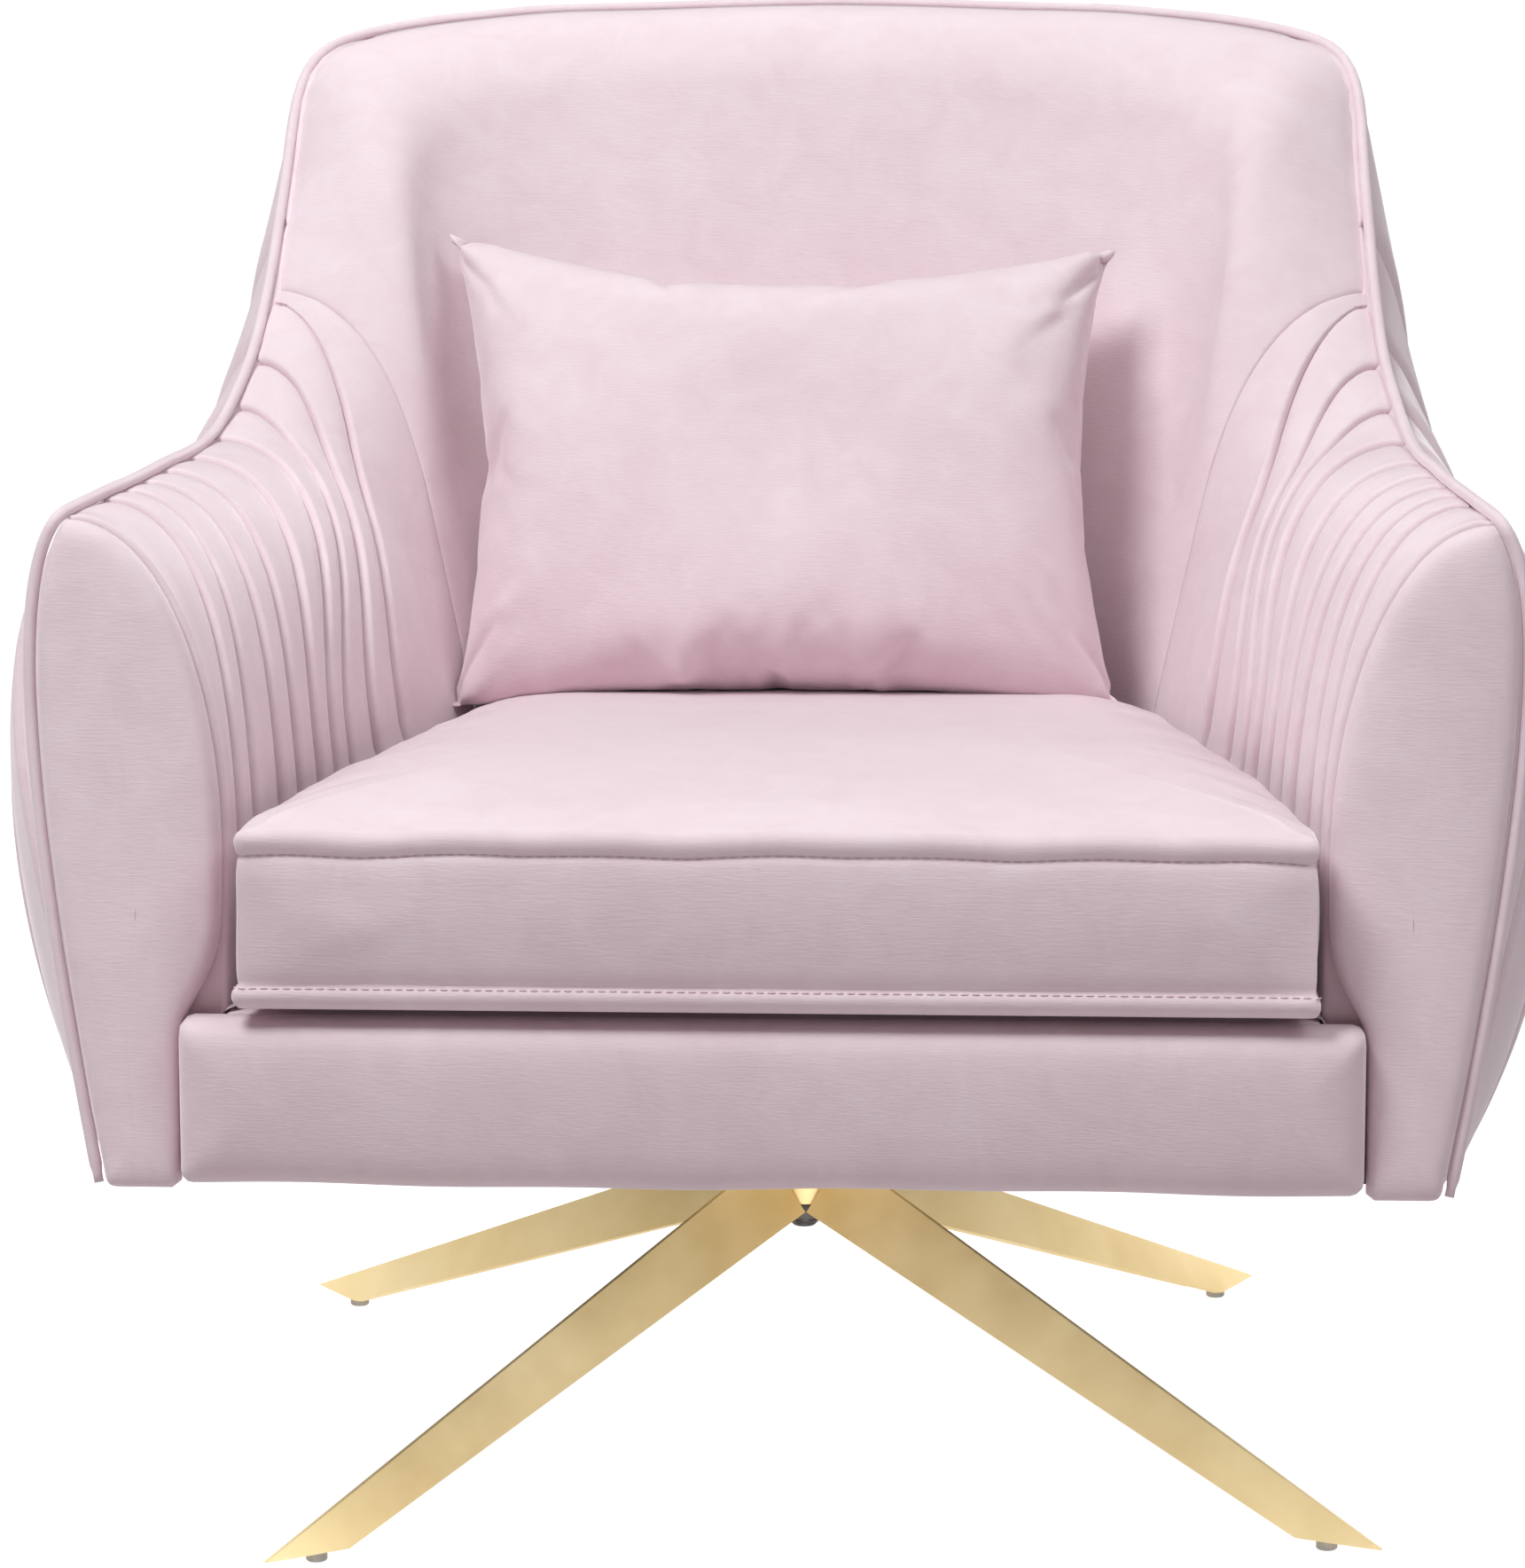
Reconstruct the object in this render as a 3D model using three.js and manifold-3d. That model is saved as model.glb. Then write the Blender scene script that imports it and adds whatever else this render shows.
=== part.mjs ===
// Upholstered swivel lounge chair, in millimetres, +Z up. The seat faces -Y and X points to the
// sitter's left. The origin is on the floor, on the swivel axis.
import * as THREE from "three";
import Module from "manifold-3d";

const wasm = await Module();
wasm.setup();

// ---- driving dimensions -------------------------------------------------------------------------
const GAP = 0.3; // clearance between pieces that touch

// base
const FOOT_RADIUS = 434.6; // swivel axis to the tip of a leg's ridge, at the glides' top
const BASE_TURN = 5; // how far the base is turned under the seat at rest, degrees
const GLIDE_HEIGHT = 7;
const GLIDE_RADIUS = 6;
const GLIDE_PLACE = 0.9125; // share of the foot radius
const RIDGE_HEIGHT = 180; // ridge line carried in to the axis
const EDGE_HEIGHT = 139; // lower edges carried in to the axis
const HUB_HALF = 17.8; // half width of a leg at the axis
const FOOT_HALF = 14.8; // half width of a leg at its inner foot corners
const CORNER_SHARE = 0.887; // where those corners are, share of the foot radius
const LEG_SHEET = 3; // sheet thickness
const COLUMN_RADIUS = 24.6;
const COLUMN_BOTTOM = 137;

// swivel, from the top down
const FRAME_BOTTOM = 231; // underside of the wooden frame
const TOP_PLATE = 4;
const RACE_RING = 8;
const LOWER_PLATE = 3;
const BASE_PLATE = 6;
const SPINDLE_RADIUS = 8;

// upholstered body
const SKIRT = 224.8; // bottom of the arm fronts and outer panels
const BORDER_BOTTOM = 228.4; // bottom of the front border
const LEAF = 18; // thickness of the padded arm fronts
const RAKE = 0.16; // how far the arm fronts lean back per unit of height
const PIVOT = [120, 60]; // plan centre that the corner sections turn about
const COVER = 12; // outer panel with its wadding
const PLY = 15;
const WELT = 3.4; // radius of the piping
const CUSHION_FRONT = -386;
const CUSHION_BOTTOM = 322.8;
const CUSHION_EDGE = [334, 421]; // heights of the lower and upper front edges
const CROWN = 11; // rise of the cushion's top
const PILLOW = { width: 400, height: 292, thick: 144, lean: 24, at: [-17, 86, 427] };

// frame
const RAIL = { thick: 25, top: 300, front: -352, rear: 225, half: 313 };
const BORDER_HALF = 315.6;
const BORDER_TOP = 318;

// Sections of the body, from the arm front to the middle of the back. Each is a vertical cut through
// o, looking out along angle a; radii are measured from o. seat: inner face at cushion height;
// knee: where the inner face starts to roll over; welt: piping line; foot: outer face at the bottom;
// puff: how far the outer face is thrown out below the welt and above the foot.
const SECTIONS = [
  { o: [120, -355], a: 0, seat: 176.5, knee: [176.5, 396], welt: [262, 578], foot: 236, puff: [36, 22] },
  { o: [120, -260], a: 0, seat: 165, knee: [166, 402], welt: [254, 580], foot: 252, puff: [72, 66] },
  { o: [120, -120], a: 0, seat: 141, knee: [145, 410], welt: [244, 582], foot: 258, puff: [76, 68] },
  { o: [120, 60], a: 0, seat: 103, knee: [112, 435], welt: [234, 590], foot: 258, puff: [70, 72] },
  { o: [120, 60], a: 17, seat: 98, knee: [118, 475], welt: [235, 622], foot: 260, puff: [64, 70] },
  { o: [120, 60], a: 30, seat: 97, knee: [132, 535], welt: [253, 668], foot: 266, puff: [64, 64] },
  { o: [120, 60], a: 40, seat: 97, knee: [158, 620], welt: [280, 734], foot: 277, puff: [62, 58] },
  { o: [120, 60], a: 48, seat: 98, knee: [200, 716], welt: [313, 797], foot: 287, puff: [42, 44] },
  { o: [120, 60], a: 57, seat: 100, knee: [226, 762], welt: [328, 819], foot: 292, puff: [26, 32] },
  { o: [120, 60], a: 75, seat: 106, knee: [232, 786], welt: [318, 833], foot: 284, puff: [16, 26] },
  { o: [120, 60], a: 90, seat: 112, knee: [232, 791], welt: [315, 836], foot: 280, puff: [14, 22] },
  { o: [0, 60], a: 90, seat: 122, knee: [236, 794], welt: [318.5, 839], foot: 280, puff: [14, 22] },
];
const SEAM = 5; // index of the section where the arm covers meet the back cover
const SEAT_HEIGHT = 400; // height of the seat radii

// colours
const VELVET = 0xe0c9d2;
const BRASS = 0xc6ad72;
const STEEL = 0x8f9296;
const DARK = 0x55504c;
const WOOD = 0xc9a26b;
const NYLON = 0xd9d8d4;
const BLACK = 0x242426;

const group = new THREE.Group();

// ---- small helpers ------------------------------------------------------------------------------
const rad = (degrees) => (degrees * Math.PI) / 180;
const v3 = (x, y, z) => new THREE.Vector3(x, y, z);
const share = (from, to, count) => {
  const list = [];
  for (let i = 0; i <= count; i++) list.push(from + ((to - from) * i) / count);
  return list;
};

function add(name, geometry, color, finish = {}) {
  const material = new THREE.MeshStandardMaterial({ color, roughness: 0.8, metalness: 0, ...finish });
  const mesh = new THREE.Mesh(geometry, material);
  mesh.name = name;
  group.add(mesh);
  return mesh;
}

const metal = { roughness: 0.35, metalness: 1 };

// Turns a geometry's faces outwards if they point in.
function outward(geometry) {
  const flat = geometry.index ? geometry.toNonIndexed() : geometry;
  const p = flat.getAttribute("position");
  let volume = 0;
  const [a, b, c] = [v3(), v3(), v3()];
  for (let i = 0; i < p.count; i += 3) {
    a.fromBufferAttribute(p, i);
    b.fromBufferAttribute(p, i + 1);
    c.fromBufferAttribute(p, i + 2);
    volume += a.dot(b.cross(c));
  }
  if (volume < 0) {
    const array = p.array;
    for (let i = 0; i < array.length; i += 9) {
      for (let k = 0; k < 3; k++) {
        const held = array[i + 3 + k];
        array[i + 3 + k] = array[i + 6 + k];
        array[i + 6 + k] = held;
      }
    }
  }
  const out = new THREE.BufferGeometry();
  out.setAttribute("position", p);
  out.computeVertexNormals();
  return out;
}

// A closed body through rings of points. Each ring is { points, flat, order }: flat holds the same
// points in the ring's own plane, so that the two end rings can be capped, and order says how far it
// is from the arm's front.
function loft(rings) {
  const triangles = [];
  const n = rings[0].points.length;
  for (let r = 0; r + 1 < rings.length; r++) {
    const onward = !(rings[r].order > rings[r + 1].order);
    for (let i = 0; i < n; i++) {
      const j = (i + 1) % n;
      const [a, b] = [rings[r].points[i], rings[r].points[j]];
      const [c, d] = [rings[r + 1].points[i], rings[r + 1].points[j]];
      // one rule for the diagonal keeps neighbouring layers parallel, on both sides of the middle
      if (a.z > b.z === onward) triangles.push(a, b, d, a, d, c);
      else triangles.push(a, b, c, b, d, c);
    }
  }
  const first = rings[0];
  const last = rings[rings.length - 1];
  for (const face of THREE.ShapeUtils.triangulateShape(first.flat, [])) {
    triangles.push(first.points[face[2]], first.points[face[1]], first.points[face[0]]);
  }
  for (const face of THREE.ShapeUtils.triangulateShape(last.flat, [])) {
    triangles.push(last.points[face[0]], last.points[face[1]], last.points[face[2]]);
  }
  // triangulateShape keeps the outline's own turn, so the caps follow the sides' turn
  if (THREE.ShapeUtils.isClockWise(first.flat)) {
    const caps = triangles.splice(6 * n * (rings.length - 1));
    for (let i = 0; i < caps.length; i += 3) triangles.push(caps[i], caps[i + 2], caps[i + 1]);
  }
  return outward(new THREE.BufferGeometry().setFromPoints(triangles));
}

function toManifold(geometry) {
  const flat = geometry.index ? geometry.toNonIndexed() : geometry;
  const p = flat.getAttribute("position");
  const seen = new Map();
  const vertices = [];
  const faces = [];
  for (let i = 0; i < p.count; i++) {
    const key = [p.getX(i), p.getY(i), p.getZ(i)].map((x) => Math.round(x * 1e4)).join(",");
    if (!seen.has(key)) {
      seen.set(key, vertices.length / 3);
      vertices.push(p.getX(i), p.getY(i), p.getZ(i));
    }
    faces.push(seen.get(key));
  }
  return new wasm.Manifold(
    new wasm.Mesh({
      numProp: 3,
      vertProperties: new Float32Array(vertices),
      triVerts: new Uint32Array(faces),
    }),
  );
}

function fromManifold(body) {
  const mesh = body.getMesh();
  const geometry = new THREE.BufferGeometry();
  geometry.setAttribute("position", new THREE.BufferAttribute(mesh.vertProperties, 3));
  geometry.setIndex(new THREE.BufferAttribute(mesh.triVerts, 1));
  return outward(geometry);
}

function box(x0, x1, y0, y1, z0, z1) {
  const geometry = new THREE.BoxGeometry(x1 - x0, y1 - y0, z1 - z0);
  return geometry.translate((x0 + x1) / 2, (y0 + y1) / 2, (z0 + z1) / 2);
}

// A body of revolution about Z from [radius, z] points that run from bottom to top.
function turned(profile, sides = 32) {
  const closed = profile[0][0] === 0 ? profile : [...profile, profile[0]];
  const geometry = new THREE.LatheGeometry(closed.map(([r, z]) => new THREE.Vector2(r, z)), sides);
  geometry.rotateX(Math.PI / 2);
  return outward(geometry);
}

function prism(outline, z0, z1, holes = []) {
  const shape = new THREE.Shape(outline.map(([x, y]) => new THREE.Vector2(x, y)));
  for (const hole of holes) {
    shape.holes.push(new THREE.Path(hole.map(([x, y]) => new THREE.Vector2(x, y))));
  }
  const geometry = new THREE.ExtrudeGeometry(shape, { depth: z1 - z0, bevelEnabled: false });
  return geometry.translate(0, 0, z0);
}

function circle(radius, sides, cx = 0, cy = 0, start = 0) {
  const points = [];
  for (let i = 0; i < sides; i++) {
    const t = start + (2 * Math.PI * i) / sides;
    points.push([cx + radius * Math.cos(t), cy + radius * Math.sin(t)]);
  }
  return points;
}

function sweep(points, radius, sides, steps) {
  const shape = new THREE.Shape(circle(radius, sides).map(([x, y]) => new THREE.Vector2(x, y)));
  const path = new THREE.CatmullRomCurve3(points, false, "centripetal");
  return outward(new THREE.ExtrudeGeometry(shape, { steps, extrudePath: path, bevelEnabled: false }));
}

// A round cord with one ring at each point.
function cord(points, radius, sides) {
  let side = v3(0, 1, 0);
  const flat = circle(radius, sides).map(([x, y]) => new THREE.Vector2(x, y));
  const rings = points.map((p, i) => {
    const before = points[Math.max(i - 1, 0)];
    const after = points[Math.min(i + 1, points.length - 1)];
    const ahead = after.clone().sub(before).normalize();
    side = side.clone().addScaledVector(ahead, -side.dot(ahead)).normalize();
    const up = ahead.clone().cross(side);
    const ringPoints = flat.map((c) => p.clone().addScaledVector(side, c.x).addScaledVector(up, c.y));
    return { flat, points: ringPoints };
  });
  return loft(rings);
}

function mirrored(geometry) {
  const flat = geometry.index ? geometry.toNonIndexed() : geometry.clone();
  flat.deleteAttribute("normal");
  flat.deleteAttribute("uv");
  flat.scale(-1, 1, 1);
  return outward(flat);
}

// ---- the body at other sizes --------------------------------------------------------------------
// The dimensions above give the body at its own size; these stretch it in plan and above the skirt.
const BODY_WIDTH = 764; // between the welts at the arm fronts
const BODY_DEPTH = 757; // cushion front to the back's piping
const BODY_HEIGHT = 839; // floor to the welt behind the top edge

const X = (x) => (x * BODY_WIDTH) / 764;
const Y = (y) => (y * BODY_DEPTH) / 757;
const Z = (z) => SKIRT + ((z - SKIRT) * (BODY_HEIGHT - SKIRT)) / (839 - SKIRT);
const bodyZ = (z) => SKIRT + ((z - SKIRT) * (839 - SKIRT)) / (BODY_HEIGHT - SKIRT); // undoes Z
const place = (x, y, z) => v3(X(x), Y(y), Z(z));

// ---- base ---------------------------------------------------------------------------------------
const base = new THREE.Matrix4().makeRotationZ(rad(BASE_TURN));
const addBase = (name, geometry, color, finish) => add(name, geometry.applyMatrix4(base), color, finish);

// Outline of a leg's section at radius r: the outer faces, and the same faces moved in by inset.
function legSection(r, inset) {
  const corner = CORNER_SHARE * FOOT_RADIUS;
  const ridge = RIDGE_HEIGHT + ((GLIDE_HEIGHT - RIDGE_HEIGHT) * r) / FOOT_RADIUS;
  const edge = EDGE_HEIGHT + ((GLIDE_HEIGHT - EDGE_HEIGHT) * r) / corner;
  const half = HUB_HALF + ((FOOT_HALF - HUB_HALF) * r) / corner;
  const flat = 1.2; // half width of the softened ridge
  const tilt = Math.atan2(half - flat, ridge - edge);
  const low = [half - inset * Math.cos(tilt), edge - inset * Math.sin(tilt)];
  const top = low[1] + low[0] / Math.tan(tilt);
  return { ridge, edge, half, flat, low, top };
}

function legRing(r, outline) {
  const flat = outline.map(([y, z]) => new THREE.Vector2(y, z));
  return { flat, points: outline.map(([y, z]) => v3(r, y, z)) };
}

function sheetRing(r) {
  const s = legSection(r, LEG_SHEET);
  const [y, z] = s.low;
  return legRing(r, [
    [-s.flat, s.ridge],
    [-s.half, s.edge],
    [-y, z],
    [0, s.top],
    [y, z],
    [s.half, s.edge],
    [s.flat, s.ridge],
  ]);
}

function fillRing(r) {
  const s = legSection(r, LEG_SHEET + 2 * GAP);
  const [y, z] = s.low;
  return legRing(r, [
    [0, s.top],
    [-y * 1.6, z - (0.6 * y * (s.top - z)) / y],
    [y * 1.6, z - (0.6 * y * (s.top - z)) / y],
  ]);
}

const COLUMN_OUTSIDE = COLUMN_RADIUS - 1.4;
const slope = Math.atan2(RIDGE_HEIGHT - GLIDE_HEIGHT, FOOT_RADIUS);
const legStart = HUB_HALF + GAP;
const startHeight = legSection(legStart, 0).edge;
const along = [Math.cos(slope), 0, -Math.sin(slope)];
const plateStart = CORNER_SHARE * FOOT_RADIUS - 4;
const footRings = share(plateStart, FOOT_RADIUS + 30, 5);
const legRings = [-15, 0.2 * FOOT_RADIUS, 0.5 * FOOT_RADIUS, ...footRings];
const legBody = toManifold(loft(legRings.map(sheetRing)))
  .trimByPlane([0, 0, 1], GLIDE_HEIGHT)
  .trimByPlane(along, along[0] * legStart + along[2] * startHeight)
  .subtract(toManifold(prism(circle(COLUMN_OUTSIDE + GAP, 40), COLUMN_BOTTOM - GAP, RIDGE_HEIGHT + 20)));

const plateBody = toManifold(loft(footRings.map(fillRing)))
  .trimByPlane([0, 0, 1], GLIDE_HEIGHT)
  .trimByPlane([0, 0, -1], -(GLIDE_HEIGHT + 2.5));

const glide = turned([
  [0, 0],
  [GLIDE_RADIUS - 0.8, 0],
  [GLIDE_RADIUS, 0.8],
  [GLIDE_RADIUS, GLIDE_HEIGHT - GAP],
  [0, GLIDE_HEIGHT - GAP],
]);

const corners = [
  ["front_right", -135],
  ["front_left", -45],
  ["rear_left", 45],
  ["rear_right", 135],
];
for (const [where, angle] of corners) {
  const turn = new THREE.Matrix4().makeRotationZ(rad(angle));
  const stand = new THREE.Matrix4().makeTranslation(GLIDE_PLACE * FOOT_RADIUS, 0, 0);
  addBase(`leg_${where}`, fromManifold(legBody).applyMatrix4(turn), BRASS, metal);
  addBase(`foot_plate_${where}`, fromManifold(plateBody).applyMatrix4(turn), BRASS, metal);
  addBase(`glide_${where}`, glide.clone().applyMatrix4(stand).applyMatrix4(turn), NYLON);
}

// ---- column and swivel --------------------------------------------------------------------------
const topPlate = [FRAME_BOTTOM - GAP - TOP_PLATE, FRAME_BOTTOM - GAP];
const ring = [topPlate[0] - GAP - RACE_RING, topPlate[0] - GAP];
const lowerPlate = [ring[0] - GAP - LOWER_PLATE, ring[0] - GAP];
const basePlate = [lowerPlate[0] - GAP - BASE_PLATE, lowerPlate[0] - GAP];
const bore = SPINDLE_RADIUS + GAP;

function tube(inner, outer, z0, z1, sides = 40) {
  return turned([[inner, z0], [outer, z0], [outer, z1], [inner, z1]], sides);
}

function square(half, corner) {
  const points = [];
  for (const [sx, sy, start] of [[1, 1, 0], [-1, 1, 90], [-1, -1, 180], [1, -1, 270]]) {
    for (const step of [0, 30, 60, 90]) {
      const t = rad(start + step);
      const cx = sx * (half - corner);
      const cy = sy * (half - corner);
      points.push([cx + corner * Math.cos(t), cy + corner * Math.sin(t)]);
    }
  }
  return points;
}

const hexagon = (across, start = 0) => circle(across / Math.sqrt(3), 6, 0, 0, start);

addBase("column", tube(COLUMN_OUTSIDE - 3.6, COLUMN_OUTSIDE, COLUMN_BOTTOM, basePlate[0] - GAP), BRASS, metal);
addBase("base_plate", prism(square(75, 8), ...basePlate, [circle(bore, 24)]), BRASS, metal);
addBase("lower_swivel_plate", tube(bore, 84, ...lowerPlate, 48), STEEL, metal);
addBase("bearing_ring", tube(58, 70, ...ring, 48), DARK, { roughness: 0.5, metalness: 0.6 });

const spindle = toManifold(prism(hexagon(24), FRAME_BOTTOM, FRAME_BOTTOM + 10)).add(
  toManifold(turned([[0, 119.5], [SPINDLE_RADIUS - 1.5, 119.5], [SPINDLE_RADIUS, 121], [SPINDLE_RADIUS, 235], [0, 235]])),
);
addBase("spindle_bolt", fromManifold(spindle), STEEL, metal);
addBase("spindle_washer", tube(bore, 15, COLUMN_BOTTOM - GAP - 2.5, COLUMN_BOTTOM - GAP, 32), STEEL, metal);

const nutTop = COLUMN_BOTTOM - 2 * GAP - 2.5;
const nut = toManifold(prism(hexagon(24), nutTop - 8.5, nutTop))
  .add(toManifold(turned([[0, nutTop - 12], [9, nutTop - 12], [10.4, nutTop - 10.5], [10.4, nutTop - 8], [0, nutTop - 8]])))
  .subtract(toManifold(prism(circle(bore, 24), nutTop - 20, nutTop + 5)));
addBase("spindle_locknut", fromManifold(nut), DARK, metal);

// upper plate with its four bolts, on the seat
const boltHoles = [];
for (const x of [-80, 80]) {
  for (const y of [-70, 70]) boltHoles.push([x, y]);
}
const around = (radius) => boltHoles.map(([x, y]) => circle(radius, 12, x, y));
add("upper_swivel_plate", prism(square(100, 10), ...topPlate, [circle(bore, 24), ...around(4.3)]), STEEL, metal);
for (const [x, y] of boltHoles) {
  const name = `plate_bolt_${y < 0 ? "front" : "rear"}_${x < 0 ? "right" : "left"}`;
  const head = toManifold(prism(hexagon(13), topPlate[0] - GAP - 5.3, topPlate[0] - GAP));
  const shank = toManifold(prism(circle(4, 12), topPlate[0] - 3, FRAME_BOTTOM + 15));
  add(name, fromManifold(head.add(shank)).translate(x, y, 0), STEEL, metal);
}

// ---- wooden frame -------------------------------------------------------------------------------
const railIn = RAIL.half - RAIL.thick;
const frontIn = RAIL.front + RAIL.thick;
const rearIn = RAIL.rear - RAIL.thick;
const railTop = Z(RAIL.top);
const wood = { roughness: 0.7 };
add("front_rail", box(X(-RAIL.half), X(RAIL.half), Y(RAIL.front), Y(frontIn), FRAME_BOTTOM, railTop), WOOD, wood);
add("rear_rail", box(X(-285), X(285), Y(rearIn) + GAP, Y(RAIL.rear), FRAME_BOTTOM, railTop), WOOD, wood);
const sideRail = box(X(railIn), X(RAIL.half), Y(frontIn) + GAP, Y(rearIn), FRAME_BOTTOM, railTop);
add("side_rail_left", sideRail, WOOD, wood);
add("side_rail_right", mirrored(sideRail), WOOD, wood);
for (const [name, y] of [["cross_slat_front", -70], ["cross_slat_rear", 70]]) {
  const half = X(railIn) - GAP;
  const outline = [[-half, y - 30], [half, y - 30], [half, y + 30], [-half, y + 30]];
  const holes = [-80, 80].map((x) => circle(4.3, 12, x, y));
  add(name, prism(outline, FRAME_BOTTOM, FRAME_BOTTOM + 18, holes), WOOD, wood);
}

// zig-zag springs, end to end between the rails
const WIRE = 1.9;
for (let k = 0; k < 5; k++) {
  const x = X((k - 2) * 100);
  const from = Y(frontIn) + GAP;
  const to = Y(rearIn);
  const bends = 2 * Math.round((to - from) / 48);
  const height = railTop - 0.4 - WIRE;
  const points = [v3(x, from, height), v3(x, from + 5, height)];
  for (let i = 0; i < bends; i++) {
    const y = from + 8 + ((to - from - 16) * (i + 0.5)) / bends;
    points.push(v3(x + (i % 2 ? 22 : -22), y, height));
  }
  points.push(v3(x, to - 5, height), v3(x, to, height));
  add(`seat_spring_${k + 1}`, sweep(points, WIRE, 5, 2 * bends + 4), STEEL, metal);
}

// ---- the shell's sections -----------------------------------------------------------------------
// distance of each section along the body, measured on a line between the inner and outer faces
const MID_RADIUS = 170;
const stations = [];
let travelled = SECTIONS[0].o[1];
SECTIONS.forEach((section, i) => {
  if (i > 0) {
    const before = SECTIONS[i - 1];
    const shift = Math.hypot(section.o[0] - before.o[0], section.o[1] - before.o[1]);
    travelled += shift + rad(section.a - before.a) * MID_RADIUS;
  }
  stations.push(travelled);
});
const LAST = stations[stations.length - 1];

const values = SECTIONS.map((s) => [s.seat, ...s.knee, ...s.welt, s.foot, ...s.puff]);

// Smooth curve through one column of the table.
function smooth(column, at) {
  let i = 0;
  while (i < stations.length - 2 && at > stations[i + 1]) i++;
  const slopeAt = (k) => {
    const a = Math.max(k - 1, 0);
    const b = Math.min(k + 1, stations.length - 1);
    return (values[b][column] - values[a][column]) / (stations[b] - stations[a]);
  };
  const span = stations[i + 1] - stations[i];
  const t = (at - stations[i]) / span;
  const [p, q] = [values[i][column], values[i + 1][column]];
  const [m, n] = [slopeAt(i) * span, i + 1 === stations.length - 1 ? 0 : slopeAt(i + 1) * span];
  const t2 = t * t;
  const t3 = t2 * t;
  return (2 * t3 - 3 * t2 + 1) * p + (t3 - 2 * t2 + t) * m + (3 * t2 - 2 * t3) * q + (t3 - t2) * n;
}

function straight(read, at) {
  let i = 0;
  while (i < stations.length - 2 && at > stations[i + 1]) i++;
  const t = (at - stations[i]) / (stations[i + 1] - stations[i]);
  return read(SECTIONS[i]) * (1 - t) + read(SECTIONS[i + 1]) * t;
}

const bezier = (p, t) => {
  const s = 1 - t;
  const w = [s * s * s, 3 * s * s * t, 3 * s * t * t, t * t * t];
  return [0, 1].map((k) => w[0] * p[0][k] + w[1] * p[1][k] + w[2] * p[2][k] + w[3] * p[3][k]);
};

// All the curves of the section at one station. Past LAST it is the mirror image.
function sectionAt(at) {
  const flip = at > LAST ? -1 : 1;
  const s = at > LAST ? 2 * LAST - at : at;
  const [seat, kneeR, kneeZ, weltR, weltZ, foot, puffTop, puffLow] = values[0].map((_, k) => smooth(k, s));
  const o = [straight((c) => c.o[0], s), straight((c) => c.o[1], s)];
  const a = rad(straight((c) => c.a, s));
  const fade = Math.max(0, (PIVOT[1] - o[1]) / (PIVOT[1] - SECTIONS[0].o[1]));
  const rake = RAKE * Math.min(fade * fade, fade);
  const rise = 0.55 * (weltZ - kneeZ);
  const lean = (kneeR - seat) / Math.max(kneeZ - SEAT_HEIGHT, 60);
  const top = [
    [kneeR, kneeZ],
    [kneeR + lean * rise, kneeZ + rise],
    [weltR - 0.55 * (weltR - kneeR), weltZ],
    [weltR, weltZ],
  ];
  const tall = weltZ - SKIRT;
  const side = [
    [weltR, weltZ],
    [weltR + puffTop, weltZ - 0.12 * tall],
    [foot + puffLow, SKIRT + 0.3 * tall],
    [foot, SKIRT],
  ];
  const tangent = (t) => {
    const e = 1e-3;
    const [p, q] = [bezier(side, Math.max(t - e, 0)), bezier(side, Math.min(t + e, 1))];
    const d = Math.hypot(q[0] - p[0], q[1] - p[1]);
    return [(q[0] - p[0]) / d, (q[1] - p[1]) / d];
  };
  return {
    seat,
    knee: [kneeR, kneeZ],
    // rolled edge from the knee to the welt
    roll: (t) => bezier(top, t),
    // outer face from the welt down, moved in by depth and back along itself by slip
    outer: (t, depth = 0, slip = 0) => {
      const p = bezier(side, t);
      const d = tangent(t);
      return [p[0] + d[1] * depth - d[0] * slip, p[1] - d[0] * depth - d[1] * slip];
    },
    point: ([r, z], forward = 0) =>
      place(flip * (o[0] + r * Math.cos(a)), o[1] + r * Math.sin(a) + rake * (z - SKIRT) - forward, z),
  };
}

// Where the outer face, moved in by depth, comes down to a height.
function outerAt(section, depth, height) {
  let [low, high] = [0, 1];
  for (let i = 0; i < 40; i++) {
    const mid = (low + high) / 2;
    if (section.outer(mid, depth)[1] > height) low = mid;
    else high = mid;
  }
  return (low + high) / 2;
}

const PLY_FROM = 0.18; // share of the outer face above the plywood's top edge
const PAD_BOTTOM = RAIL.top + GAP;
const NEAR = COVER + GAP; // depth of the plywood's outer face
const FAR = COVER + GAP + PLY; // depth of its inner face

// Neighbouring layers share these places down the outer face, so that they stay a gap apart.
function outerGrid(s) {
  const padEnd = outerAt(s, FAR + GAP, PAD_BOTTOM);
  const plyEnd = outerAt(s, NEAR, bodyZ(FRAME_BOTTOM));
  return [...share(0, PLY_FROM, 2), ...share(PLY_FROM, padEnd, 6).slice(1), plyEnd, 1];
}

function innerFace(s, bottom) {
  const line = [[s.seat, bottom]];
  for (const t of share(0, 1, 3)) {
    const z = SEAT_HEIGHT + (s.knee[1] - SEAT_HEIGHT) * t;
    line.push([s.seat + (s.knee[0] - s.seat) * t, Math.max(z, SEAT_HEIGHT + 0.5 * t)]);
  }
  for (const t of share(0, 1, 7).slice(1, -1)) line.push(s.roll(t));
  return line;
}

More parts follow.
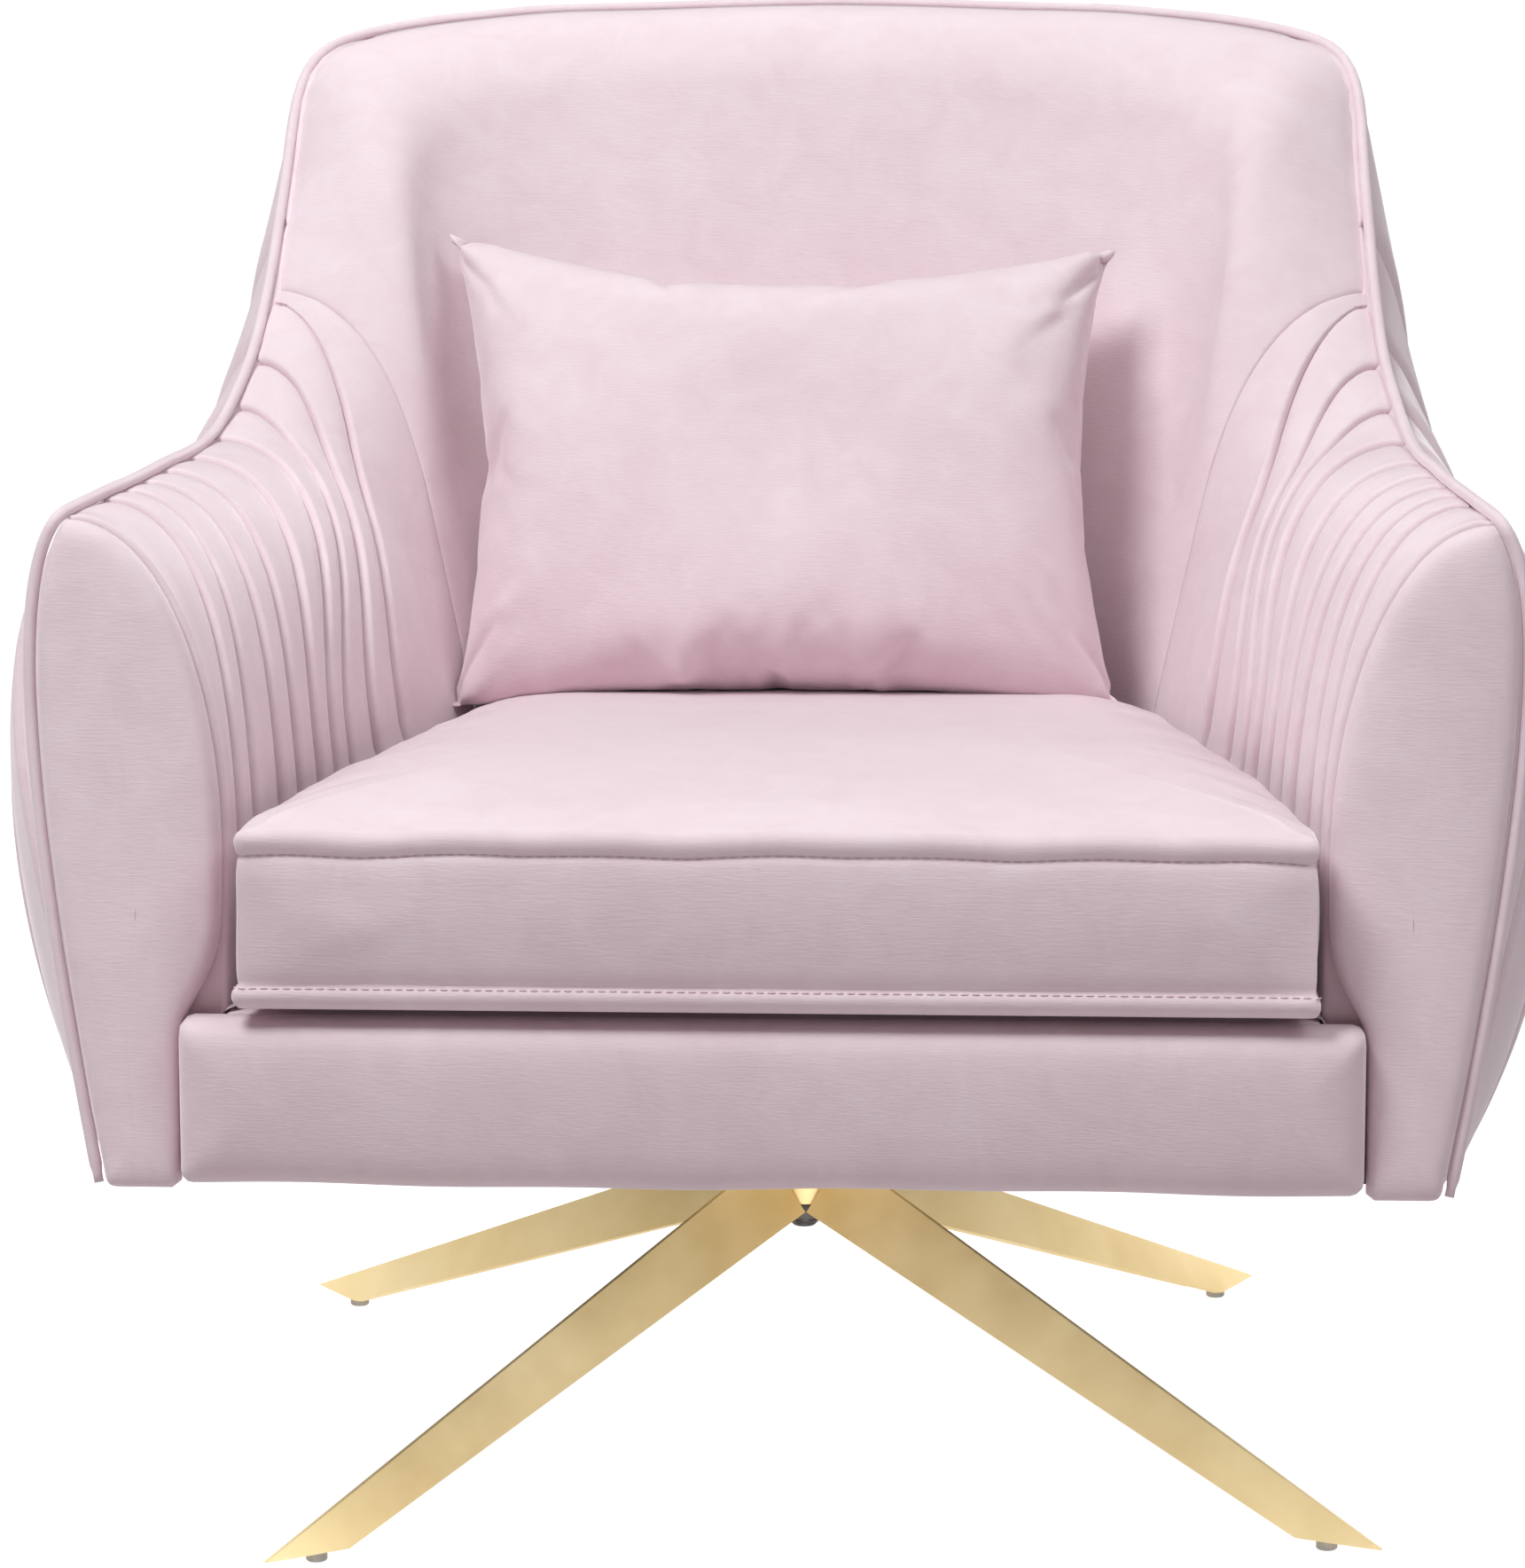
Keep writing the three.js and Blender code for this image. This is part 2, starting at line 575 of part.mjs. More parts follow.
const outlines = {
  pad(s) {
    const grid = outerGrid(s);
    const line = innerFace(s, PAD_BOTTOM);
    line.push(s.outer(0, 0, 0.4), s.outer(0, NEAR, 0.4), s.outer(grid[1], NEAR));
    line.push(s.outer(grid[2], NEAR, 0.4), s.outer(grid[2], FAR + GAP, 0.4));
    for (const t of grid.slice(3, -2)) line.push(s.outer(t, FAR + GAP));
    return line;
  },
  ply(s) {
    const grid = outerGrid(s).slice(2, -1);
    return [...grid.map((t) => s.outer(t, NEAR)), ...grid.reverse().map((t) => s.outer(t, FAR))];
  },
  panel(s) {
    const grid = outerGrid(s);
    return [...grid.map((t) => s.outer(t)), ...grid.reverse().map((t) => s.outer(t, COVER))];
  },
};

const front = stations[0];
const seam = stations[SEAM];
const OUTER_SEAM = stations[8];
const HALF_GAP = GAP / 2;
const cloth = { roughness: 0.9 };

// stations of the rings, from the right arm's front over the back to the left arm's front
const halfRings = [
  ...share(front, seam, 11),
  ...share(seam, OUTER_SEAM, 4).slice(1),
  ...share(OUTER_SEAM, LAST, 6).slice(1),
];
const allRings = [...halfRings, ...halfRings.slice(0, -1).reverse().map((at) => 2 * LAST - at)];

// One layer of the shell between two stations.
function layer(outline, from, to) {
  const between = allRings.filter((at) => at > from + 1 && at < to - 1);
  const rings = [from, ...between, to].map((at) => {
    const s = sectionAt(at);
    const line = outline(s);
    const order = at > LAST ? 2 * LAST - at : at;
    return { order, flat: line.map(([r, z]) => new THREE.Vector2(r, z)), points: line.map((p) => s.point(p)) };
  });
  return loft(rings);
}

const armPad = layer(outlines.pad, front, seam - HALF_GAP);
add("arm_pad_left", armPad, VELVET, cloth);
add("arm_pad_right", mirrored(armPad), VELVET, cloth);
add("back_pad", layer(outlines.pad, seam + HALF_GAP, 2 * LAST - seam - HALF_GAP), VELVET, cloth);

const armPly = layer(outlines.ply, front, seam - HALF_GAP);
add("arm_ply_left", armPly, WOOD, wood);
add("arm_ply_right", mirrored(armPly), WOOD, wood);
add("back_ply", layer(outlines.ply, seam + HALF_GAP, 2 * LAST - seam - HALF_GAP), WOOD, wood);

const sidePanel = layer(outlines.panel, front, OUTER_SEAM - HALF_GAP);
add("side_panel_left", sidePanel, VELVET, cloth);
add("side_panel_right", mirrored(sidePanel), VELVET, cloth);
const backPanel = layer(outlines.panel, OUTER_SEAM + HALF_GAP, 2 * LAST - OUTER_SEAM - HALF_GAP);
add("outer_back_panel", backPanel, VELVET, cloth);

// ---- arm fronts ---------------------------------------------------------------------------------
const frontSection = sectionAt(front);
const leafOutline = [
  [BORDER_HALF + 0.4 - PIVOT[0], SKIRT],
  [BORDER_HALF + 0.4 - PIVOT[0], 305],
  [frontSection.seat, 345],
  [frontSection.seat, 372],
  ...share(0, 1, 8).map((t) => frontSection.roll(t)),
  ...share(0, 1, 10).slice(1).map((t) => frontSection.outer(t)),
];

// The outline moved in by a distance along its corner directions.
function inset(outline, distance) {
  const n = outline.length;
  return outline.map((p, i) => {
    const a = outline[(i + n - 1) % n];
    const b = outline[(i + 1) % n];
    const d = Math.hypot(b[0] - a[0], b[1] - a[1]);
    return [p[0] + ((b[1] - a[1]) / d) * distance, p[1] - ((b[0] - a[0]) / d) * distance];
  });
}

function leafRing(outline, forward) {
  return {
    flat: outline.map(([r, z]) => new THREE.Vector2(r, z)),
    points: outline.map((p) => frontSection.point(p, forward)),
  };
}
const leaf = loft([
  leafRing(inset(leafOutline, 7), LEAF),
  leafRing(inset(leafOutline, 2), LEAF - 3),
  leafRing(leafOutline, LEAF - 8),
  leafRing(leafOutline, GAP),
]);
add("arm_front_left", leaf, VELVET, cloth);
add("arm_front_right", mirrored(leaf), VELVET, cloth);

// ---- welt ---------------------------------------------------------------------------------------
const clear = WELT + 2 * GAP;
const seamLine = [];
for (const t of share(0.995, 0, 12)) {
  const forward = LEAF - clear - 4;
  seamLine.push([frontSection.point(frontSection.outer(t), forward), frontSection.point(frontSection.outer(t, -1), forward)]);
}
for (const at of [front, front + 8, ...halfRings.slice(1)]) {
  const s = sectionAt(at);
  seamLine.push([s.point(s.outer(0)), s.point(s.outer(0, -1))]);
}
// the cord lies on the seam, square to the seam's own direction
const weltHalf = seamLine.map(([p, q], i) => {
  const before = seamLine[Math.max(i - 1, 0)][0];
  const after = i + 1 < seamLine.length ? seamLine[i + 1][0] : p.clone().sub(v3(1, 0, 0));
  const ahead = after.clone().sub(before).normalize();
  const out = q.clone().sub(p);
  out.addScaledVector(ahead, -out.dot(ahead)).normalize();
  return p.clone().addScaledVector(out, clear);
});
const weltPath = [...weltHalf, ...weltHalf.slice(0, -1).reverse().map((p) => v3(-p.x, p.y, p.z))];
add("welt", cord(weltPath, WELT, 6), VELVET, cloth);

// ---- seat front, deck and dust cover ------------------------------------------------------------
const slab = [
  [BORDER_HALF, BORDER_BOTTOM],
  [BORDER_HALF, 305],
  [BORDER_HALF - 6.5, BORDER_TOP],
  [6.5 - BORDER_HALF, BORDER_TOP],
  [-BORDER_HALF, 305],
  [-BORDER_HALF, BORDER_BOTTOM],
];
function slabRing(y, drop) {
  const outline = slab.map(([x, z]) => [x, z > 300 ? z - drop : z + drop * 0.4]);
  return {
    flat: outline.map(([x, z]) => new THREE.Vector2(x, z)),
    points: outline.map(([x, z]) => place(x, y, z)),
  };
}
const borderBack = RAIL.front - GAP;
const lipHalf = sectionAt(front + 25).seat + PIVOT[0] - GAP;
const lip = [
  [borderBack - 1, RAIL.top + GAP],
  [borderBack + 22, RAIL.top + GAP],
  [borderBack + 22, BORDER_TOP],
  [borderBack - 1, BORDER_TOP],
];
const lipRing = (x) => ({
  flat: lip.map(([y, z]) => new THREE.Vector2(y, z)),
  points: lip.map(([y, z]) => place(x, y, z)),
});
const border = toManifold(loft([slabRing(-384, 9), slabRing(-381, 3), slabRing(-374, 0), slabRing(borderBack, 0)])).add(
  toManifold(loft([lipRing(-lipHalf), lipRing(lipHalf)])),
);
add("front_border", fromManifold(border), VELVET, cloth);

// The seat's outline in plan, off the inner faces by a clearance, from the front face at y.
function seatOutline(y, clearance) {
  const from = Math.max(y, front);
  const half = [from, ...halfRings.filter((at) => at > from + 1)].map((at) => {
    const s = sectionAt(at);
    const p = s.point([s.seat - clearance, SKIRT]);
    return [p.x, p.y];
  });
  if (y < front) half.unshift([half[0][0], Y(y)]);
  return [...half, ...half.slice(0, -1).reverse().map(([x, py]) => [-x, py])];
}

const deck = prism(seatOutline(borderBack + 22 + GAP, 2 * GAP), railTop + GAP, Z(CUSHION_BOTTOM) - GAP);
add("deck_pad", deck, BLACK, cloth);

const hem = [RAIL.front + 3, ...halfRings.slice(1)].map((at) => {
  const s = sectionAt(at);
  const p = s.point(s.outer(1, COVER + PLY / 2));
  return [p.x, p.y];
});
const cover = [...hem, ...hem.slice(0, -1).reverse().map(([x, y]) => [-x, y])];
add("dust_cover", prism(cover, FRAME_BOTTOM - 1.3, FRAME_BOTTOM - GAP, [square(115, 6).reverse()]), BLACK, cloth);

// ---- seat cushion -------------------------------------------------------------------------------
const cushionPlan = seatOutline(CUSHION_FRONT, 8.5).map(([x, y]) => [x + 3, y]);
const cushionMiddle = Y(-110);
function cushionRing(z, size) {
  const outline = cushionPlan.map(([x, y]) => [x * size, cushionMiddle + (y - cushionMiddle) * size]);
  return {
    flat: outline.map(([x, y]) => new THREE.Vector2(x, y)),
    points: outline.map(([x, y]) => v3(x, y, Z(z))),
  };
}
const [edgeLow, edgeHigh] = CUSHION_EDGE;
const cushion = loft([
  cushionRing(CUSHION_BOTTOM, 0.8),
  cushionRing(CUSHION_BOTTOM + 2.5, 0.95),
  cushionRing(edgeLow, 0.99),
  cushionRing(edgeLow + 10, 1),
  cushionRing(edgeHigh - 10, 1),
  cushionRing(edgeHigh, 0.988),
  cushionRing(edgeHigh + 0.45 * CROWN, 0.9),
  cushionRing(edgeHigh + 0.8 * CROWN, 0.7),
  cushionRing(edgeHigh + 0.95 * CROWN, 0.45),
  cushionRing(edgeHigh + CROWN, 0.2),
]);
add("seat_cushion", cushion, VELVET, cloth);

// ---- pillow -------------------------------------------------------------------------------------
const pillowGrid = [16, 12];
function pillowPoint(i, j, face) {
  const u = Math.sin(((i / pillowGrid[0]) * 2 - 1) * 1.45) / Math.sin(1.45);
  const v = Math.sin(((j / pillowGrid[1]) * 2 - 1) * 1.45) / Math.sin(1.45);
  const x = (u * PILLOW.width * (1 - 0.055 * (1 - v * v))) / 2;
  const up = (v * PILLOW.height * (1 - 0.07 * (1 - u * u))) / 2 + PILLOW.height / 2;
  const belly = Math.pow((1 - u * u) * (1 - v * v), 0.55);
  return v3(x, face * (1.5 + (PILLOW.thick / 2 - 1.5) * belly), up);
}
function pillowBody() {
  const triangles = [];
  const quad = (a, b, c, d) => triangles.push(a, b, c, a, c, d);
  const [m, n] = pillowGrid;
  for (let i = 0; i < m; i++) {
    for (let j = 0; j < n; j++) {
      const at = (face) => [
        pillowPoint(i, j, face),
        pillowPoint(i + 1, j, face),
        pillowPoint(i + 1, j + 1, face),
        pillowPoint(i, j + 1, face),
      ];
      quad(...at(-1));
      quad(...at(1).reverse());
    }
  }
  const rim = [];
  for (let i = 0; i < m; i++) rim.push([i, 0]);
  for (let j = 0; j < n; j++) rim.push([m, j]);
  for (let i = m; i > 0; i--) rim.push([i, n]);
  for (let j = n; j > 0; j--) rim.push([0, j]);
  rim.forEach(([i, j], k) => {
    const [p, q] = rim[(k + 1) % rim.length];
    quad(pillowPoint(i, j, 1), pillowPoint(p, q, 1), pillowPoint(p, q, -1), pillowPoint(i, j, -1));
  });
  return new THREE.BufferGeometry().setFromPoints(triangles);
}
const pillow = pillowBody();
pillow.rotateX(-rad(PILLOW.lean));
pillow.translate(PILLOW.at[0], Y(PILLOW.at[1]), Z(PILLOW.at[2]));
// it rests on the cushion, a gap above it
const rest = toManifold(cushion).translate(0, 0, GAP);
add("pillow", fromManifold(toManifold(outward(pillow)).subtract(rest)), VELVET, cloth);

export default group;
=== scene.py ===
import json
import math

import bmesh
import bpy
import numpy as np
from mathutils import Matrix, Vector, kdtree


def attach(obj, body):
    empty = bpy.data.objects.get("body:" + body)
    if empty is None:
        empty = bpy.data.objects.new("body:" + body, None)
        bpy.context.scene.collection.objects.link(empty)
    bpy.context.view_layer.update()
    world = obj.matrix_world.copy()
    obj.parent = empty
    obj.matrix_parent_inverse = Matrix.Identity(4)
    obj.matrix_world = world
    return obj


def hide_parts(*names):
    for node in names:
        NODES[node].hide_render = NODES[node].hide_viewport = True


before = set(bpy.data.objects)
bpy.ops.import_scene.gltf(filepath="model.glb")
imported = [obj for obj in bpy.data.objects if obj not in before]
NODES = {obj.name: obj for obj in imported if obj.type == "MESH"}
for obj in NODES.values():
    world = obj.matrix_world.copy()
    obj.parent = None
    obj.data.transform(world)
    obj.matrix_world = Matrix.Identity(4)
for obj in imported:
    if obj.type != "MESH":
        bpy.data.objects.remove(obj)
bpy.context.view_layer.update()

MM = 0.001
FINISHES = {}

# ---- dimensions of the upholstery, in millimetres, as the solids have them ------------------------
# Each section: o, a, seat, knee, welt, foot, puff. It is a vertical cut through o, looking out along
# angle a; radii are measured from o.
SECTIONS = [
    ((120, -355), 0, 176.5, (176.5, 396), (262, 578), 236, (36, 22)),
    ((120, -260), 0, 165, (166, 402), (254, 580), 252, (72, 66)),
    ((120, -120), 0, 141, (145, 410), (244, 582), 258, (76, 68)),
    ((120, 60), 0, 103, (112, 435), (234, 590), 258, (70, 72)),
    ((120, 60), 17, 98, (118, 475), (235, 622), 260, (64, 70)),
    ((120, 60), 30, 97, (132, 535), (253, 668), 266, (64, 64)),
    ((120, 60), 40, 97, (158, 620), (280, 734), 277, (62, 58)),
    ((120, 60), 48, 98, (200, 716), (313, 797), 287, (42, 44)),
    ((120, 60), 57, 100, (226, 762), (328, 819), 292, (26, 32)),
    ((120, 60), 75, 106, (232, 786), (318, 833), 284, (16, 26)),
    ((120, 60), 90, 112, (232, 791), (315, 836), 280, (14, 22)),
    ((0, 60), 90, 122, (236, 794), (318.5, 839), 280, (14, 22)),
]
MID_RADIUS = 170
PIVOT = (120, 60)
RAKE = 0.16
SKIRT = 224.8
SEAT_HEIGHT = 400
PAD_BOTTOM = 300.8
COVER = 12
PLY_BACK = 28.2  # depth of the plywood's inner face under the outer cover
WELT = 3.4
LEAF = 18
BORDER_HALF = 315.6
BORDER_BOTTOM = 228.4
BORDER_TOP = 318
CUSHION = {"front": -386, "bottom": 323.2, "low": 334, "high": 421, "crown": 11, "shift": 3, "clear": 8.5}
PILLOW = {"width": 400, "height": 292, "thick": 144, "lean": 24, "at": (-17, 86, 427)}

STATIONS = [float(SECTIONS[0][0][1])]
for before, after in zip(SECTIONS, SECTIONS[1:]):
    shift = math.hypot(after[0][0] - before[0][0], after[0][1] - before[0][1])
    STATIONS.append(STATIONS[-1] + shift + math.radians(after[1] - before[1]) * MID_RADIUS)
STATIONS = np.array(STATIONS)
FRONT = STATIONS[0]
SEAM = STATIONS[5]
OUTER_SEAM = STATIONS[8]
LAST = STATIONS[-1]
COLUMNS = np.array([[s[2], *s[3], *s[4], s[5], *s[6]] for s in SECTIONS], float)


# ---- curves of the upholstered shell --------------------------------------------------------------
def table_at(s):
    i = int(np.clip(np.searchsorted(STATIONS, s) - 1, 0, len(STATIONS) - 2))

    def slope(k):
        a, b = max(k - 1, 0), min(k + 1, len(STATIONS) - 1)
        return (COLUMNS[b] - COLUMNS[a]) / (STATIONS[b] - STATIONS[a])

    span = STATIONS[i + 1] - STATIONS[i]
    t = (s - STATIONS[i]) / span
    m = slope(i) * span
    n = 0 * m if i + 1 == len(STATIONS) - 1 else slope(i + 1) * span
    row = (2 * t**3 - 3 * t**2 + 1) * COLUMNS[i] + (t**3 - 2 * t**2 + t) * m
    row = row + (3 * t**2 - 2 * t**3) * COLUMNS[i + 1] + (t**3 - t**2) * n
    a, b = SECTIONS[i], SECTIONS[i + 1]
    ox = a[0][0] * (1 - t) + b[0][0] * t
    oy = a[0][1] * (1 - t) + b[0][1] * t
    return row, ox, oy, math.radians(a[1] * (1 - t) + b[1] * t)


def bezier(p, t):
    t = np.asarray(t, float)[..., None]
    q = 1 - t
    return q**3 * p[0] + 3 * q * q * t * p[1] + 3 * q * t * t * p[2] + t**3 * p[3]


class Section:
    """One vertical cut of the shell: its inner face, rolled top and outer face."""

    def __init__(self, at):
        self.flip = -1 if at > LAST else 1
        s = 2 * LAST - at if at > LAST else at
        row, self.ox, self.oy, self.a = table_at(s)
        self.seat, kr, kz, wr, wz, foot, puff_top, puff_low = row
        fade = max(0, (PIVOT[1] - self.oy) / (PIVOT[1] - SECTIONS[0][0][1]))
        self.rake = RAKE * min(fade * fade, fade)
        self.knee, self.welt = (kr, kz), (wr, wz)
        rise = 0.55 * (wz - kz)
        lean = (kr - self.seat) / max(kz - SEAT_HEIGHT, 60)
        self.top = np.array([[kr, kz], [kr + lean * rise, kz + rise], [wr - 0.55 * (wr - kr), wz], [wr, wz]])
        tall = wz - SKIRT
        self.side = np.array(
            [[wr, wz], [wr + puff_top, wz - 0.12 * tall], [foot + puff_low, SKIRT + 0.3 * tall], [foot, SKIRT]]
        )

    def outer(self, t, depth=0.0):
        t = np.asarray(t, float)
        p = bezier(self.side, t)
        d = bezier(self.side, np.clip(t + 1e-3, 0, 1)) - bezier(self.side, np.clip(t - 1e-3, 0, 1))
        d = d / np.linalg.norm(d, axis=-1, keepdims=True)
        return p + np.stack([d[..., 1], -d[..., 0]], -1) * depth

    def inner(self, v):
        """Inner face by share of its length, 0 at the bottom and 1 at the welt."""
        line = [[self.seat, PAD_BOTTOM], [self.seat, SEAT_HEIGHT - 20]]
        for t in (0.15, 0.5, 1):
            z = SEAT_HEIGHT + (max(self.knee[1], SEAT_HEIGHT + 1) - SEAT_HEIGHT) * t
            line.append([self.seat + (self.knee[0] - self.seat) * t, z])
        line = np.vstack([line, bezier(self.top, np.linspace(0, 1, 40)[1:])])
        run = np.r_[0, np.cumsum(np.hypot(*np.diff(line, axis=0).T))]
        run /= run[-1]
        return np.stack([np.interp(v, run, line[:, 0]), np.interp(v, run, line[:, 1])], -1)

    def place(self, rz, forward=0.0):
        rz = np.asarray(rz, float)
        r, z = rz[..., 0], rz[..., 1]
        x = self.flip * (self.ox + r * math.cos(self.a))
        y = self.oy + r * math.sin(self.a) + self.rake * (z - SKIRT) - forward
        return np.stack([x, y, z], -1)


SECTION_STORE = {}


def section(at):
    key = round(float(at), 2)
    if key not in SECTION_STORE:
        SECTION_STORE[key] = Section(key)
    return SECTION_STORE[key]


def ease(x):
    x = np.clip(x, 0, 1)
    return x * x * (3 - 2 * x)


# ---- making meshes --------------------------------------------------------------------------------
def make_piece(name, points, faces, body, replaces=(), slot="velvet", finish="velvet", sharp=None, mirror=False):
    """A mesh piece from points in millimetres."""
    points = np.asarray(points, float).reshape(-1, 3) * MM
    if mirror:
        points = points * np.array([-1, 1, 1])
    mesh = bpy.data.meshes.new(name)
    mesh.from_pydata([tuple(p) for p in points], [], faces)
    work = bmesh.new()
    work.from_mesh(mesh)
    bmesh.ops.remove_doubles(work, verts=work.verts, dist=1e-5)
    bmesh.ops.recalc_face_normals(work, faces=work.faces)
    if work.calc_volume(signed=True) < 0:
        bmesh.ops.reverse_faces(work, faces=work.faces)
    work.to_mesh(mesh)
    work.free()
    mesh.shade_smooth()
    if sharp:
        mesh.set_sharp_from_angle(angle=math.radians(sharp))
    piece = bpy.data.objects.new(name, mesh)
    bpy.context.scene.collection.objects.link(piece)
    mesh.materials.append(FINISHES[finish])
    piece["plan"] = json.dumps([body, slot, list(replaces)])
    return piece


def settle(piece):
    """Tells the frame what the piece rides on and stands for."""
    body, slot, nodes = json.loads(piece["plan"])
    del piece["plan"]
    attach(piece, body)
    if nodes:
        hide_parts(*nodes)


def tube_faces(columns, rows):
    """Faces of a grid that closes on itself along its rows; its ends are left open."""
    faces = []
    for i in range(columns - 1):
        for j in range(rows):
            k = (j + 1) % rows
            faces.append((i * rows + j, (i + 1) * rows + j, (i + 1) * rows + k, i * rows + k))
    return faces


def capped(grid):
    """Points and faces of a closed body from a grid of rings."""
    grid = np.asarray(grid, float)
    columns, rows = grid.shape[:2]
    points = list(grid.reshape(-1, 3))
    faces = tube_faces(columns, rows)
    for end in (0, columns - 1):
        points.append(grid[end].mean(0))
        hub = len(points) - 1
        for j in range(rows):
            faces.append((end * rows + j, end * rows + (j + 1) % rows, hub))
    return np.array(points), faces


def shell_points(columns, face):
    """Points of the shell at stations columns[i, j]; face(section, j) gives radius and height."""
    return np.array([[section(at).place(face(section(at), j)) for j, at in enumerate(line)] for line in columns])


def skin_normals(skin):
    du = np.gradient(skin, axis=0)
    dv = np.gradient(skin, axis=1)
    n = np.cross(du, dv)
    n /= np.linalg.norm(n, axis=-1, keepdims=True) + 1e-9
    return n


# ---- pleated and plain covers ---------------------------------------------------------------------
# Tuck pleats of the arm covers: where each fold lies along the body at the cushion and at the welt.
PLEATS_LOW = [-326, -284, -232, -192, -154, -122, -90, -50, 2]
PLEATS_HIGH = [-262, -214, -166, -110, -34, 44, 86, 115, 144]
FOLD_ACROSS = [0, 0.25, 0.8, 1.8, 3.2, 5, 7.5]  # fine columns behind a fold, in mm
FOLD_HEIGHT = [-4.0, -0.8, 2.1, 3.7, 4.4, 4.6, 4.4]


def pleat_place(low, high, v):
    above = (v - 0.26) / 0.74  # share of the face above the cushion
    return low + (high - low) * ease((above - 0.17) / 0.83) ** 1.15


def arm_columns(v, side):
    """Stations of the columns at every row v, and the height of the folds there."""
    rng = np.random.default_rng(5 + side)
    places = [np.full_like(v, FRONT)]
    for low, high in zip(PLEATS_LOW, PLEATS_HIGH):
        wander = rng.uniform(-2.5, 2.5) + 1.3 * np.sin(v * rng.uniform(3, 6) + rng.uniform(0, 6))
        places.append(pleat_place(low, high, v) + wander * np.clip((1 - v) * 6, 0.2, 1))
    places.append(np.full_like(v, SEAM - 0.4))
    columns, heights = [], []
    for k, (a, b) in enumerate(zip(places, places[1:])):
        span = np.maximum(b - a, 2)
        first, last = k == 0, k == len(places) - 2
        strength = rng.uniform(0.8, 1.15)
        tall = strength * (0.55 + 0.45 * ease((0.98 - v) / 0.3)) * ease(span / 26)
        if last:
            tall = tall * (0.15 + 0.85 * ease((v - 0.16) / 0.3))
        belly = 1.2 * strength
        across = np.array(FOLD_ACROSS)
        shares = np.r_[0.28, 0.42, 0.56, 0.7, 0.82, 0.91, 0.96, 0.985]
        for x, h in zip(across, FOLD_HEIGHT):
            if first:
                # a rolled lip against the arm front's seam
                columns.append(a + x * 1.3)
                heights.append(0 * v + [-3.5, -0.6, 1.2, 2.2, 2.6, 2.4, 1.8][len(columns) - 1])
                continue
            columns.append(a + np.minimum(x, span * 0.25 * (x / across[-1])))
            heights.append(h * tall)
        for t in shares:
            x = 7.5 + (span - 7.5) * t
            x = np.where(span < 10, span * (0.25 + 0.74 * t), x)
            columns.append(a + x)
            fall = (1 - t) ** 0.8
            start = 1.8 if first else 4.4 * tall
            dip = -1.5 * max(0, (t - 0.9) / 0.085)
            swell = belly * math.sin(math.pi * t) * ease(span / 40)
            heights.append(start * fall + swell + dip * (0.5 if last else 1))
    columns.append(places[-1])
    heights.append(-1.0 - 0.8 * ease((v - 0.75) / 0.2))
    return np.array(columns), np.array(heights)


def pad_back(s, rows):
    """The hidden side of a pad, from the welt down behind the plywood to the bottom."""
    line = [s.outer(t, COVER + 1.0) for t in (0.02, 0.09, 0.175)]
    low, high = 0.0, 1.0
    for _ in range(30):
        mid = (low + high) / 2
        if s.outer(mid, PLY_BACK)[1] > PAD_BOTTOM:
            low = mid
        else:
            high = mid
    line += [s.outer(t, PLY_BACK) for t in np.linspace(0.19, low, rows - 3)]
    return np.array(line)


def pad_cover(columns, heights, v, soft_top=1.6):
    """Closed pad: columns[i, j] is the station of column i at row v[j], heights the swell there."""
    count, rows = columns.shape
    bare = shell_points(columns, lambda s, j: s.inner(v[j]))
    normals = skin_normals(bare)
    if np.mean(normals[:, rows // 2] @ np.array([0, 0, 1.0])) < 0 and np.mean(normals[:, -3, 2]) < 0:
        normals = -normals
    crest = ease((1 - v) * 40) * soft_top - soft_top
    skin = bare + normals * (heights + crest[None, :])[..., None]
    back_rows = 12
    rings = []
    for i in range(count):
        s = section(columns[i, -1])
        low = section(columns[i, 0])
        line = []
        for k, p in enumerate(pad_back(s, back_rows)):
            q = pad_back(low, back_rows)[k] if abs(low.a - s.a) + abs(low.oy - s.oy) > 1e-6 else p
            t = ease((k - 2) / (back_rows - 3))
            line.append(s.place(p) * (1 - t) + low.place(q) * t)
        rings.append(np.vstack([skin[i], line]))
    return np.array(rings)


def arm_cover(name, side, node):
    v = np.r_[np.linspace(0, 0.1, 4)[:-1], np.linspace(0.1, 0.94, 62), 0.96, 0.975, 0.985, 0.993, 1]
    columns, heights = arm_columns(v, side)
    points, faces = capped(pad_cover(columns, heights, v))
    return make_piece(name, points, faces, "seat", [node], sharp=75, mirror=side < 0)


def back_cover():
    v = np.r_[np.linspace(0, 0.1, 4)[:-1], np.linspace(0.1, 0.94, 56), 0.96, 0.975, 0.985, 0.993, 1]
    edge = np.array([0, 1, 2.2, 4, 6.5, 10])
    half = np.r_[SEAM + 0.4 + edge, np.linspace(SEAM + 16, LAST, 44)]
    at = np.r_[half, 2 * LAST - half[-2::-1]]
    near = np.minimum(at - half[0], (2 * LAST - half[0]) - at)
    deep = 1.0 + 0.8 * ease((v - 0.75) / 0.2)
    columns = np.repeat(at[:, None], len(v), 1)
    heights = -np.exp(-near / 2.0)[:, None] * deep[None, :]
    # a soft fullness between the lumbar and the top edge
    across = np.clip(near / 250, 0, 1)[:, None]
    heights = heights + 2.0 * across * np.sin(math.pi * np.clip((v - 0.35) / 0.6, 0, 1))[None, :]
    points, faces = capped(pad_cover(columns, heights, v))
    return make_piece("back_cover", points, faces, "seat", ["back_pad"], sharp=75)


OUTER_LOW = [-330, -268, -205, -142, -78, -10, 62, 128, 180]
OUTER_HIGH = [-250, -190, -132, -70, -8, 48, 96, 132, 168]


